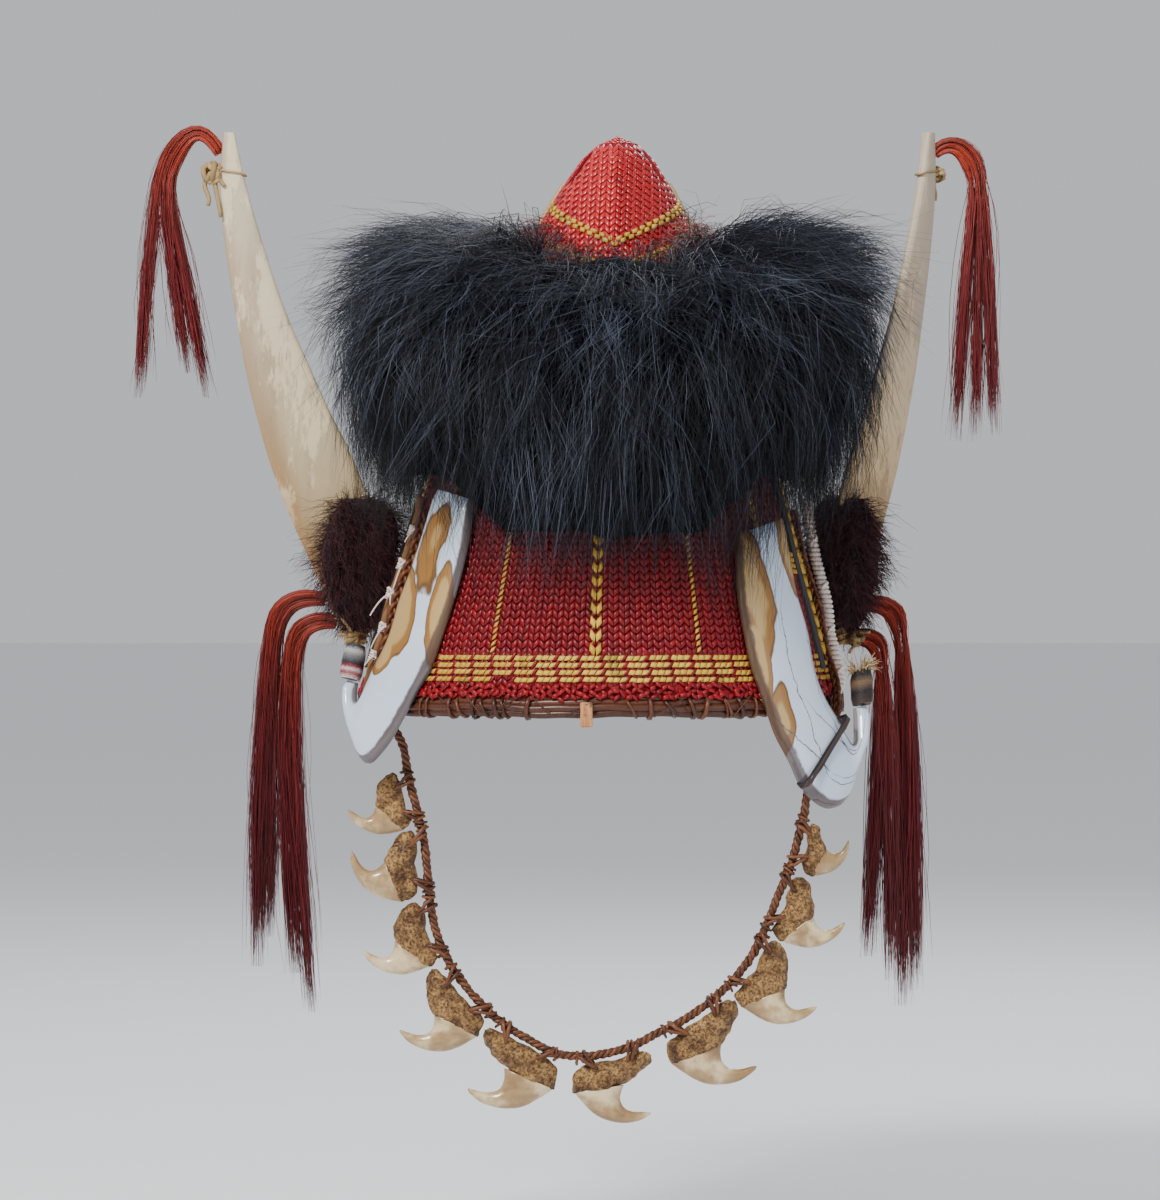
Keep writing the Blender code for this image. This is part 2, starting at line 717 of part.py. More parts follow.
def build_sticks():
    """The sticks tied upright to the cap's sides, clear of the hoop's top."""
    low = CAP_FOOT + GAP
    high = low + STICK_LENGTH
    seat = GAP + STICK_RADIUS
    left = [cap_point(STICK_ANGLE_LEFT, height, seat) for height in cap_heights(low, high)]
    tube("side_stick_left", left, STICK_RADIUS, "chin_cane")
    right = []
    for height in cap_heights(low, high):
        lift = STICK_LEAN_RIGHT * (height - low) / STICK_LENGTH
        right.append(cap_point(STICK_ANGLE_RIGHT, height, seat + lift))
    tube("side_stick_right", right, STICK_RADIUS, "cream_cane")


def build_braids():
    """The left braid stands on the cap. The right one slants and runs down over the hoop."""
    low = CAP_FOOT + GAP
    high = low + BRAID_LENGTH
    seat = GAP + BRAID_RADIUS
    left = [cap_point(BRAID_ANGLE_LEFT, height, seat) for height in cap_heights(low, high)]
    tube("side_braid_left", left, BRAID_RADIUS, "chin_cane")
    over_hoop = (HOOP_THICKNESS - CAP_WALL) / 2 + seat
    right = []
    for height in (low - BRAID_TAIL, CAP_FOOT, *cap_heights(low + BRAID_TAIL, high)):
        route = between(BRAID_ROUTE_RIGHT, (height - CAP_FOOT) / BRAID_LENGTH)
        right.append(cap_point(math.radians(route.angle), height, seat + route.lift * (over_hoop - seat)))
    tube("side_braid_right", right, BRAID_RADIUS, "chin_cane")


# Fur ruff


def ruff_point(angle, row, lobe, hang_to_plates):
    """A point of the ruff's surface at an angle, on a row of its section."""
    side = between(RUFF_SIDES, math.degrees(abs(math.remainder(angle, math.tau))))
    crest = APEX - RUFF_CREST_BELOW_APEX
    hang = RUFF_HANG * side.hem
    hang += side.over_plates * (hang_to_plates - hang)
    height = crest - row.down * hang * (1 + lobe.hang * row.out)
    reach = RUFF_REACH * side.reach * (1 + lobe.reach * row.out)
    wall = cap_point(angle, height, GAP)
    rim = around(angle) * reach
    rim.x += cap_lean(height)
    return Vector((
        wall.x + row.out * (rim.x - wall.x),
        wall.y + row.out * (rim.y - wall.y),
        height,
    ))


def grow_locks(bm, faces):
    """Draws each face out to a pointed lock, away from the fur and down its lie."""
    for part in LOCK_PARTS:
        faces = bmesh.ops.extrude_discrete_faces(bm, faces=faces)["faces"]
        for face in faces:
            centre = face.calc_center_median()
            lie = Vector((centre.x, centre.y, 0)).normalized() * LOCK_OUT - Vector((0, 0, LOCK_DOWN))
            way = (lie + face.normal * LOCK_LIFT) * part.length
            for vert in face.verts:
                vert.co = centre + (vert.co - centre) * part.taper + way


def build_ruff():
    """The fur's outer form: a backing on the cap that swells to a shaggy ring of locks."""
    bm = bmesh.new()
    band_top = APEX - RUFF_CREST_BELOW_APEX - RUFF_BAND_TOP
    hang_to_plates = APEX - RUFF_CREST_BELOW_APEX - plates_top() - RUFF_OVER_PLATES
    columns = []
    for index in range(CAP_SEGMENTS):
        angle = turn(index, CAP_SEGMENTS)
        lobe = RUFF_LOBES[index % 2]
        points = [cap_point(angle, band_top, GAP)]
        points += [ruff_point(angle, row, lobe, hang_to_plates) for row in RUFF_ROWS]
        backing = cap_heights(band_top - RUFF_BAND_HEIGHT, band_top)[:-1]
        points += [cap_point(angle, height, GAP) for height in backing]
        columns.append(add_ring(bm, points))
    tufts = []
    for index, (column, after) in enumerate(zip(columns, columns[1:] + columns[:1])):
        middle = abs(math.remainder(turn(index + 0.5, CAP_SEGMENTS), math.tau))
        near_horn = HORN_NOTCH[0] < middle < HORN_NOTCH[1]
        for row in range(len(column)):
            below = (row + 1) % len(column)
            face = bm.faces.new((column[row], column[below], after[below], after[row]))
            if row - 1 in LOCK_ROWS and (row + index) % 2 and not near_horn:
                tufts.append(face)
    bmesh.ops.recalc_face_normals(bm, faces=bm.faces)
    grow_locks(bm, tufts)
    return solid("fur_ruff", bm, "black_fur", sharp=70)


# Horns, sleeves, knots and tassels


Horn = namedtuple("Horn", "side spread twist")
HORNS = {
    "left": Horn(-1, HORN_SPREAD_LEFT, 0.0),
    "right": Horn(1, HORN_SPREAD_RIGHT, HORN_TWIST_RIGHT),
}


def horn_frame(horn):
    """The level ways across a horn's width, to its outer edge, and through it, to its front."""
    across = Vector((horn.side * math.cos(horn.twist), math.sin(horn.twist), 0))
    return across, Vector((horn.side * math.sin(horn.twist), -math.cos(horn.twist), 0))


def horn_point(horn, rise, across, through):
    """A point off the horn's middle line, from the horn's foot."""
    way, front = horn_frame(horn)
    middle = Vector((horn.side * horn.spread * between(HORN_ROWS, rise).out, 0, rise * HORN_HEIGHT))
    return middle + way * across + front * through


def horn_half_width(rise):
    return HORN_HALF_WIDTH * between(HORN_ROWS, rise).half_width


def sleeve_rings(horn):
    """The sleeve's sections, each a C round the horn's inner edge that is thickest towards the cap."""
    rings = []
    half = HORN_HALF_THICKNESS
    for row in SLEEVE_ROWS:
        width = horn_half_width(row.rise)
        pad = SLEEVE_PAD * row.pad
        face = half + GAP
        edge = -width - GAP
        side = 0.35 * half + pad / 2
        section = (
            (row.cover * width, face),
            (-0.75 * width, face),
            (edge, 0.35 * half),
            (edge, -0.35 * half),
            (-0.75 * width, -face),
            (row.cover * width, -face),
            (row.cover * width, -face - pad),
            (-0.75 * width, -face - pad),
            (edge, -side),
            (edge, side),
            (-0.75 * width, face + pad),
            (row.cover * width, face + pad),
        )
        ring = [horn_point(horn, row.rise, across, through) for across, through in section]
        for point in ring[8:10]:
            point.x -= horn.side * SLEEVE_PACKING * row.packing
        rings.append(ring)
    return rings


def horn_foot(horn):
    """The horn's foot, moved out sideways until the sleeve just clears the cap and the hoop."""
    foot = Vector((0, HORN_SETBACK, HORN_FOOT_HEIGHT))
    out = 0.0
    for point in [point for ring in sleeve_rings(horn) for point in ring]:
        place = foot + point
        share = between(CAP_ROWS, (place.z - CAP_FOOT) / CAP_RISE).radius
        depth = min(abs(place.y) / (RIM_HALF_DEPTH * share), 1)
        wall = RIM_HALF_WIDTH * share * math.sqrt(1 - depth**2) + horn.side * cap_lean(place.z)
        out = max(out, wall + 2 * GAP - horn.side * place.x)
    return foot + Vector((horn.side * out, 0, 0))


def build_horn(side, horn):
    rings = []
    for row in HORN_ROWS:
        width = HORN_HALF_WIDTH * row.half_width
        ring = []
        for corner in HORN_SECTION:
            ring.append(
                horn_point(horn, row.rise, corner.across * width, corner.through * HORN_HALF_THICKNESS)
            )
        rings.append(ring)
    bm = bmesh.new()
    loft(bm, rings)
    made = solid(f"horn_{side}", bm, "horn_ivory", sharp=30)
    made.location = horn_foot(horn)


def build_sleeve(side, horn):
    bm = bmesh.new()
    loft(bm, sleeve_rings(horn))
    made = solid(f"horn_sleeve_{side}", bm, "brown_fur", sharp=60)
    made.location = horn_foot(horn)


def build_knots(side, horn):
    """A twine knot on the outer edge near the tip, and one on the front of the foot."""
    radius = TWINE_KNOT_RADIUS
    tip = horn_point(horn, TIP_KNOT_RISE, horn_half_width(TIP_KNOT_RISE) + GAP + radius, 0)
    seat = KNOT_SEAT_ACROSS * horn_half_width(BASE_KNOT_RISE)
    base = horn_point(horn, BASE_KNOT_RISE, seat, HORN_HALF_THICKNESS + GAP + radius)
    for name, place in (("tip_knot", tip), ("base_knot", base)):
        bm = bmesh.new()
        bmesh.ops.create_icosphere(bm, subdivisions=1, radius=radius)
        knot = solid(f"{name}_{side}", bm, "twine", sharp=60)
        knot.location = horn_foot(horn) + place


def tassel_root(tassel, horn):
    """Where a tassel leaves the horn's outer edge, clear of the edge over the root's height."""
    reach = TASSEL_ROOT_WIDTH / 2 / HORN_HEIGHT
    edges = []
    for rise in (tassel.rise - reach, tassel.rise, tassel.rise + reach):
        for corner in HORN_SECTION:
            across = corner.across * horn_half_width(rise)
            edges.append(horn_point(horn, rise, across, corner.through * HORN_HALF_THICKNESS))
    root = horn_foot(horn) + horn_point(horn, tassel.rise, horn_half_width(tassel.rise), 0)
    root.x = horn_foot(horn).x + tassel.side * (max(tassel.side * edge.x for edge in edges) + GAP)
    return root


def trunk_rings(tassel, root):
    """The trunk's sections: flat bundles with a point between each two locks on front and back."""
    out_way = Vector((tassel.side, 0, 0))
    middles = []
    for row in TRUNK_ROWS:
        rise = row.up * tassel.lift - row.fall * tassel.arc
        middles.append(root + out_way * row.out * tassel.arc + Vector((0, 0, rise)))
    count = len(tassel.locks)
    rings = []
    for index, (row, middle) in enumerate(zip(TRUNK_ROWS, middles)):
        along = middles[min(index + 1, len(middles) - 1)] - middles[max(index - 1, 0)]
        if index == 0:
            along = out_way
        across = Vector((-along.z, 0, along.x)).normalized() * -tassel.side
        if across.z > 0:
            across.negate()
        width = TASSEL_ROOT_WIDTH + row.width * (TASSEL_WIDTH - TASSEL_ROOT_WIDTH)
        half = TASSEL_THICKNESS / 2 * (0.6 + 0.4 * row.width)
        steps = [step / count - 0.5 for step in range(count + 1)]
        front = [middle + across * width * step - Vector((0, half, 0)) for step in steps]
        back = [middle + across * width * step + Vector((0, half, 0)) for step in reversed(steps)]
        rings.append(front + back)
    return rings


def build_tassel(tassel):
    """A hair tassel: a flat trunk that arcs out from the horn, split into hanging locks."""
    horn = HORNS["left" if tassel.side < 0 else "right"]
    root = tassel_root(tassel, horn)
    bm = bmesh.new()
    rings = [add_ring(bm, points) for points in trunk_rings(tassel, root)]
    for lower, upper in zip(rings, rings[1:]):
        join_rings(bm, lower, upper)
    bm.faces.new(rings[0])
    end = rings[-1]
    count = len(tassel.locks)
    for index in range(count):
        faces = [bm.faces.new((end[index], end[index + 1], end[-2 - index], end[-1 - index]))]
        lock = tassel.locks[index]
        start = faces[0].calc_center_median()
        outs = (
            (lock.mid_out + start_share(start, root, tassel)) / 2,
            lock.mid_out,
            (lock.mid_out + lock.end_out) / 2,
            lock.end_out,
        )
        for (down, size), out in zip(LOCK_STATIONS, outs):
            faces = bmesh.ops.extrude_discrete_faces(bm, faces=faces)["faces"]
            x = root.x + tassel.side * out * tassel.arc
            y = start.y + tassel.drift * down
            z = root.z - tassel.length * lock.drop * down
            place_lock(faces[0], Vector((x, y, z)), size, count)
    return solid(tassel.name, bm, "red_hair", sharp=60)


def start_share(start, root, tassel):
    """How far out a lock starts, as a share of the tassel's arc."""
    return abs(start.x - root.x) / tassel.arc


def place_lock(face, place, size, count):
    """Sets a lock's section level at a place, with each corner on the side where it was."""
    centre = face.calc_center_median()
    width = TASSEL_WIDTH / count * size / 2
    depth = TASSEL_THICKNESS * size / 2
    for vert in face.verts:
        away = vert.co - centre
        vert.co = place + Vector((math.copysign(width, away.x), math.copysign(depth, away.y), 0))


# Shell plates


def plate_frame(plate):
    """A plate's notch and the ways outward, up and forward from its back face, which clears the hoop."""
    angle = plate.side * PLATE_ANGLE
    outward = Vector((plate.side * math.cos(PLATE_ANGLE), math.sin(PLATE_ANGLE), 0))
    forward = around(angle) * math.cos(PLATE_TILT) + Vector((0, 0, math.sin(PLATE_TILT)))
    up = forward.cross(outward) * plate.side
    if up.z < 0:
        up.negate()
    half_width = RIM_HALF_WIDTH - CAP_WALL / 2 + HOOP_THICKNESS / 2
    half_depth = RIM_HALF_DEPTH - CAP_WALL / 2 + HOOP_THICKNESS / 2
    support = math.hypot(half_width * math.sin(PLATE_ANGLE), half_depth * math.cos(PLATE_ANGLE))
    touch = Vector((
        half_width**2 * math.sin(angle) / support,
        -(half_depth**2) * math.cos(angle) / support,
        HOOP_HEIGHT - HOOP_EDGE,
    ))
    curve_radius = (half_width * half_depth) ** 2 / support**3
    seat = GAP - plate_edge_out(plate) ** 2 / (2 * curve_radius) * math.cos(PLATE_TILT)
    notch = touch + forward * seat + outward * plate.notch_out + up * plate.notch_rise
    return notch, outward, up, forward


def plate_edge_out(plate):
    """How far out from where it would touch the hoop the plate's inner edge crosses the hoop's height."""
    level = -plate.notch_rise / plate.length
    inner_rows = [row for row in plate.rows if row.far_out < row.near_out]
    row = min(inner_rows, key=lambda row: abs(row.far_up - level))
    return max(plate.notch_out + row.far_out * plate.length, 0)


def plate_point(plate, out, up, front):
    """A point of a plate from its notch, by distances outward, up the plate and off its back."""
    notch, outward, upward, forward = plate_frame(plate)
    return notch + outward * out + upward * up + forward * front


def plate_rings(plate):
    """A plate's sections, flat at the back and crowned at the front."""
    rings = []
    for row in plate.rows:
        ring = []
        for corner in PLATE_SECTION:
            out = row.near_out + corner.across * (row.far_out - row.near_out)
            up = row.near_up + corner.across * (row.far_up - row.near_up)
            ring.append(
                plate_point(plate, out * plate.length, up * plate.length, corner.through * PLATE_CROWN)
            )
        rings.append(ring)
    return rings


def plates_top():
    """The height of the highest point of the plates."""
    return max(point.z for plate in PLATES.values() for ring in plate_rings(plate) for point in ring)


def build_plate(side, plate):
    bm = bmesh.new()
    loft(bm, plate_rings(plate))
    return solid(f"shell_plate_{side}", bm, "white_shell", sharp=35)


def build_binding(side, plate):
    """Thread or fibre wound in a barrel on the end of the plate's short arm."""
    end = plate.rows[-1]
    out = (end.near_out + end.far_out) / 2 * plate.length
    foot = max(end.near_up, end.far_up) * plate.length + GAP
    rings = []
    for row in BINDING_ROWS:
        ring = []
        for index in range(BINDING_SIDES):
            angle = turn(index, BINDING_SIDES)
            along = out + BINDING_RADIUS * row.radius * math.cos(angle)
            along += plate.binding_lean * row.along * BINDING_LENGTH
            front = PLATE_CROWN / 2 + BINDING_RADIUS * row.radius * math.sin(angle)
            ring.append(plate_point(plate, along, foot + row.along * BINDING_LENGTH, front))
        rings.append(ring)
    bm = bmesh.new()
    loft(bm, rings)
    return solid(f"plate_binding_{side}", bm, "black_thread", sharp=50)


def build_strap(plate):
    """The dark strap round the right plate, a flat loop slanting across its hook."""
    low, high = [Vector((end.out, end.up)) * plate.length for end in STRAP_ENDS]
    along = (high - low).normalized()
    across = Vector((-along.y, along.x)) * STRAP_WIDTH / 2
    bm = bmesh.new()
    rings = []
    reach = STRAP_THICKNESS + GAP
    for end, way, front in (
        (low, -1, -GAP),
        (high, 1, -GAP),
        (high, 1, PLATE_CROWN + GAP),
        (low, -1, PLATE_CROWN + GAP),
    ):
        depth = -STRAP_THICKNESS if front < 0 else STRAP_THICKNESS
        ring = []
        for side, grow in ((-1, 0), (1, 0), (1, 1), (-1, 1)):
            place = end + along * way * (GAP + grow * reach) + across * side
            ring.append(plate_point(plate, place.x, place.y, front + grow * depth))
        rings.append(add_ring(bm, ring))
    for ring, after in zip(rings, rings[1:] + rings[:1]):
        join_rings(bm, ring, after)
    return solid("plate_strap_right", bm, "black_thread")


# Chin strap and claws


def chin_route():
    """Points along the strap, from the hoop's left side round to its right. Its cut ends slant a little."""
    anchor = hoop_point(CHIN_ANCHOR_ANGLE, 0, -GAP - CHIN_CORD_RADIUS / 5)
    route = []
    for point in CHIN_ROUTE:
        route.append(Vector((point.out * anchor.x, anchor.y, anchor.z - point.down * CHIN_DROP)))
    return smooth_route(route, CHIN_CORD_POINTS)


def claw_sections(rows, tip, bend=0.0):
    """A claw part's oval sections from the joint to its tip, turned more the further along a bent bone."""
    rings = []
    for row, share in zip(rows, CLAW_BEND_SHARES):
        inner = turned(row.inner_x, row.inner_z, -bend * share)
        outer = turned(row.outer_x, row.outer_z, -bend * share)
        half = (outer - inner) / 2
        depth = Vector((0, row.thickness / 2, 0))
        middle = (inner + outer) / 2
        rings.append([middle + half * math.cos(turn(i, 8)) + depth * math.sin(turn(i, 8)) for i in range(8)])
    rings.append([turned(*tip, -bend)])
    return rings


def turned(x, z, degrees):
    """A point of the claws' plane turned about the joint, anticlockwise from the front."""
    angle = math.radians(degrees)
    return Vector((x * math.cos(angle) - z * math.sin(angle), 0, x * math.sin(angle) + z * math.cos(angle)))


def claw_mesh(name, rings, gap_way):
    """One part of a claw of full size, pointing left, set off the joint by half the clearance."""
    bm = bmesh.new()
    off = Vector((0, 0, gap_way * GAP))
    loft(bm, [[point * CLAW_LENGTH + off for point in ring] for ring in rings])
    return mesh_of(name, bm, name, sharp=50)


def claw_outline(place):
    """The claw's outlines turned and sized as it hangs, from its joint."""
    points = []
    for ring in claw_sections(BONE_ROWS, BONE_END, place.bend) + claw_sections(SHEATH_ROWS, SHEATH_TIP):
        points += ring[::4]
    return [claw_turned(point, place) * CLAW_LENGTH * place.size for point in points]


def claw_turned(point, place):
    """A point of the claw turned as it hangs, and mirrored on the right."""
    hung = turned(point.x, point.z, place.turn)
    return Vector((-place.side * hung.x, point.y, hung.z))


def distance_to_route(point, route):
    nearest = math.inf
    for a, b in zip(route, route[1:]):
        part = (point - a).dot(b - a) / (b - a).length_squared
        nearest = min(nearest, (point - a.lerp(b, min(max(part, 0), 1))).length)
    return nearest


def claw_seat(place, route):
    """The claw's joint, moved straight away from the strap until the claw just clears it."""
    index, part = divmod(place.along * (len(route) - 1), 1)
    index = int(index)
    start = route[index].lerp(route[index + 1], part)
    along = (route[index + 1] - route[index]).normalized()
    away = Vector((along.z, 0, -along.x))
    if away.z > 0:
        away.negate()
    outline = claw_outline(place)
    wanted = CHIN_CORD_RADIUS + 2 * GAP
    near = 0.0
    far = 2 * CLAW_LENGTH
    for _ in range(30):
        middle = (near + far) / 2
        seat = start + away * middle
        if min(distance_to_route(seat + point, route) for point in outline) < wanted:
            near = middle
        else:
            far = middle
    return start + away * far


def build_claws(route):
    sheath = claw_mesh("claw_horn", claw_sections(SHEATH_ROWS, SHEATH_TIP), -1)
    for number, place in enumerate(CLAWS, start=1):
        hanger = add_object(f"claw_{number:02d}", None)
        hanger.location = claw_seat(place, route)
        hanger.scale = (-place.side * place.size, place.size, place.size)
        hanger.rotation_euler.y = place.side * math.radians(place.turn)
        bone = claw_mesh("claw_bone", claw_sections(BONE_ROWS, BONE_END, place.bend), 1)
        add_object(f"claw_bone_{number:02d}", bone).parent = hanger
        add_object(f"claw_sheath_{number:02d}", sheath).parent = hanger


def main():
    for old in list(bpy.data.objects):
        bpy.data.objects.remove(old, do_unlink=True)
    build_cap()
    build_hoop()
    build_peg()
    build_staves()
    build_ribs()
    build_sticks()
    build_braids()
    build_ruff()
    for side, horn in HORNS.items():
        build_horn(side, horn)
        build_sleeve(side, horn)
        build_knots(side, horn)
    for tassel in TASSELS:
        build_tassel(tassel)
    for side, plate in PLATES.items():
        build_plate(side, plate)
        build_binding(side, plate)
    build_strap(PLATES["right"])
    route = chin_route()
    tube("chin_cord", route, CHIN_CORD_RADIUS, "chin_cane")
    build_claws(route)


main()
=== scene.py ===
"""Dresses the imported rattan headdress: woven red cane, black fur, horn, shell, hair, claws and lashings.

Metres, +Z up, the front faces -Y. Angles round the cap run from the front, positive to +X.
"""

import json
import math

import bpy
import numpy as np
from bpy.props import FloatProperty, FloatVectorProperty, IntProperty, PointerProperty
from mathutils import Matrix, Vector, noise

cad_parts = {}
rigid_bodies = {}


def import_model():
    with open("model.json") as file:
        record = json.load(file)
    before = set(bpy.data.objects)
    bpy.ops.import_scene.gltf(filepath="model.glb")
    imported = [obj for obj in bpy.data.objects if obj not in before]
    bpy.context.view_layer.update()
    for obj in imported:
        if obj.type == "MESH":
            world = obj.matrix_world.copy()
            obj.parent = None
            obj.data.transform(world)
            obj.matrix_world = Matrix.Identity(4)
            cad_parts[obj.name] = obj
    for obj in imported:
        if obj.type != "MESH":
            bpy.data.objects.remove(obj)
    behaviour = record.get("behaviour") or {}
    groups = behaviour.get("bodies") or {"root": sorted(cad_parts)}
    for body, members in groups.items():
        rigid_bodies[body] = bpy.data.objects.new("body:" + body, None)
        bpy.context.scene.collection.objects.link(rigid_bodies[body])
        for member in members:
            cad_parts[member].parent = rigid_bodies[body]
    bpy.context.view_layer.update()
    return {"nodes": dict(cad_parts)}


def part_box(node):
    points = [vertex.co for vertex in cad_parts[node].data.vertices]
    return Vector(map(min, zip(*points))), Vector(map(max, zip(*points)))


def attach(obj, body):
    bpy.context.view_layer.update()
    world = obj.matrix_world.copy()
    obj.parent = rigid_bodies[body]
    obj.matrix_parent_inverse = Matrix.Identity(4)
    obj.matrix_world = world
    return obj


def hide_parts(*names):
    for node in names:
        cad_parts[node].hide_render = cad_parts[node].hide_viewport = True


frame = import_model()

bl_info = {
    "name": "Rattan headdress",
    "version": (1, 0, 0),
    "blender": (4, 5, 0),
    "location": "3D View > Sidebar > Headdress",
    "description": "Builds the visible pieces of a woven cane headdress around its packed solids",
    "category": "Object",
}

TAU = math.tau

# The cap's outer face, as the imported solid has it
CAP_FOOT = 0.0087
CAP_RISE = 0.2502
APEX = CAP_FOOT + CAP_RISE
RIM_HALF_WIDTH = 0.1063
RIM_HALF_DEPTH = 0.112
CAP_WALL = 0.0022
CROWN_LEAN = 0.0085
CREASE_DEPTH = 0.09
CREASE_SPREAD = math.radians(27)
CREASE_START = 0.5
CREASE_FULL = 0.76
CAP_RISES = (0, 0.061, 0.125, 0.245, 0.365, 0.484, 0.604, 0.724, 0.832, 0.904, 0.956, 0.984, 1)
CAP_RADII = (1, 0.962, 0.922, 0.837, 0.757, 0.663, 0.555, 0.437, 0.325, 0.230, 0.151, 0.085, 0)
HOOP_HEIGHT = 0.0084
HOOP_THICKNESS = 0.0072
HOOP_EDGE = 0.0022

# The ruff's outline at angles in degrees off the front: shares of its reach, and the drop of its hem
RUFF_REACH = 0.145
RUFF_CREST = APEX - 0.0379
RUFF_ANGLES = (0, 25, 45, 65, 84, 88, 104, 110, 125, 150, 180)
RUFF_REACHES = (0.93, 0.95, 1.0, 1.0, 0.80, 0.74, 0.74, 0.80, 1.0, 0.97, 0.95)
RUFF_DROPS = (0.147, 0.145, 0.120, 0.118, 0.113, 0.111, 0.111, 0.113, 0.126, 0.141, 0.145)


# Properties


def length(name, default, description):
    return FloatProperty(
        name=name, description=description, default=default, min=0, precision=5, unit="LENGTH"
    )


def colour(name, default, description):
    return FloatVectorProperty(
        name=name, description=description, default=default, size=3, min=0, max=1, subtype="COLOR"
    )


def amount(name, default, description):
    return IntProperty(name=name, description=description, default=default, min=1)


class WeaveSettings(bpy.types.PropertyGroup):
    columns: amount("Columns", 256, "Half columns of the herringbone round the lower cap")
    pitch: length("Pitch", 0.0032, "Height of one strip of the herringbone")
    crown_column: length("Crown column", 0.00238, "Width of a half column on the crown")
    relief: length("Relief", 0.00062, "How far a strip stands off the cap")
    dash: length("Dash", 0.0101, "Distance from one yellow dash to the next")
    red: colour("Red", (0.11, 0.0016, 0.005), "Dyed cane")
    bright_red: colour("Bright red", (0.29, 0.005, 0.010), "Dyed cane where it is rubbed")
    yellow: colour("Yellow", (0.42, 0.215, 0.008), "Yellow cane")
    pale_yellow: colour("Pale yellow", (0.68, 0.46, 0.07), "Yellow cane where it is faded")


class FurSettings(bpy.types.PropertyGroup):
    tufts: amount("Tufts", 2700, "Tufts of long hair in the ruff")
    hairs: amount("Hairs", 10, "Hairs in a tuft")
    thickness: length("Thickness", 0.000155, "Radius of a hair at its thickest")
    dark: colour("Dark", (0.0010, 0.0014, 0.0030), "Fur in the shade")
    light: colour("Light", (0.115, 0.135, 0.19), "Fur that catches the light")
    brown: colour("Brown", (0.030, 0.010, 0.012), "Fur of the sleeves")


class HornSettings(bpy.types.PropertyGroup):
    ivory: colour("Ivory", (0.50, 0.405, 0.235), "Left horn")
    tan: colour("Tan", (0.36, 0.235, 0.085), "Right horn")
    ochre: colour("Ochre", (0.25, 0.12, 0.022), "Stains and streaks")


class PlateSettings(bpy.types.PropertyGroup):
    white: colour("White", (0.50, 0.59, 0.72), "Shell")
    ochre: colour("Ochre", (0.24, 0.105, 0.012), "Stains in the shell")
    cream: colour("Cream", (0.43, 0.28, 0.095), "Middle of a stain")


class HairSettings(bpy.types.PropertyGroup):
    strands: amount("Strands", 480, "Strands in a tassel")
    orange: colour("Orange", (0.60, 0.066, 0.026), "Hair where a tassel arcs")
    maroon: colour("Maroon", (0.17, 0.006, 0.012), "Hair further down")


class ClawSettings(bpy.types.PropertyGroup):
    bone: colour("Bone", (0.17, 0.078, 0.024), "Claw bone")
    horn: colour("Horn", (0.46, 0.315, 0.145), "Claw sheath")
    cane: colour("Cane", (0.11, 0.036, 0.015), "Chin strap")


class StageSettings(bpy.types.PropertyGroup):
    drop: length("Floor below", 0.26, "How far the floor is below the origin")
    pale: colour("Pale", (0.86, 0.87, 0.89), "Floor and surroundings")


class HeaddressSettings(bpy.types.PropertyGroup):
    weave: PointerProperty(type=WeaveSettings, name="Weave", description="The woven cap")
    fur: PointerProperty(type=FurSettings, name="Fur", description="The ruff and the sleeves")
    horn: PointerProperty(type=HornSettings, name="Horns", description="The horn plates")
    plate: PointerProperty(type=PlateSettings, name="Plates", description="The shell plates")
    hair: PointerProperty(type=HairSettings, name="Tassels", description="The red hair")
    claw: PointerProperty(type=ClawSettings, name="Claws", description="The chin strap and its claws")
    stage: PointerProperty(type=StageSettings, name="Stage", description="Floor, light and camera")


# Shaders


class Term:
    """A socket in a shader sum. Arithmetic on it adds Math nodes."""

    def __init__(self, finish, socket):
        self.finish = finish
        self.socket = socket

    def maths(self, operation, *values):
        return self.finish.maths(operation, self, *values)

    def __add__(self, other):
        return self.maths("ADD", other)

    __radd__ = __add__

    def __sub__(self, other):
        return self.maths("SUBTRACT", other)

    def __rsub__(self, other):
        return self.finish.maths("SUBTRACT", other, self)

    def __mul__(self, other):
        return self.maths("MULTIPLY", other)

    __rmul__ = __mul__

    def __truediv__(self, other):
        return self.maths("DIVIDE", other)

    def above(self, edge, soft):
        """0 below an edge and 1 above it, over a soft width."""
        return self.finish.add(
            "ShaderNodeMapRange",
            {"interpolation_type": "SMOOTHSTEP"},
            {"Value": self, "From Min": edge - soft, "From Max": edge + soft},
        )


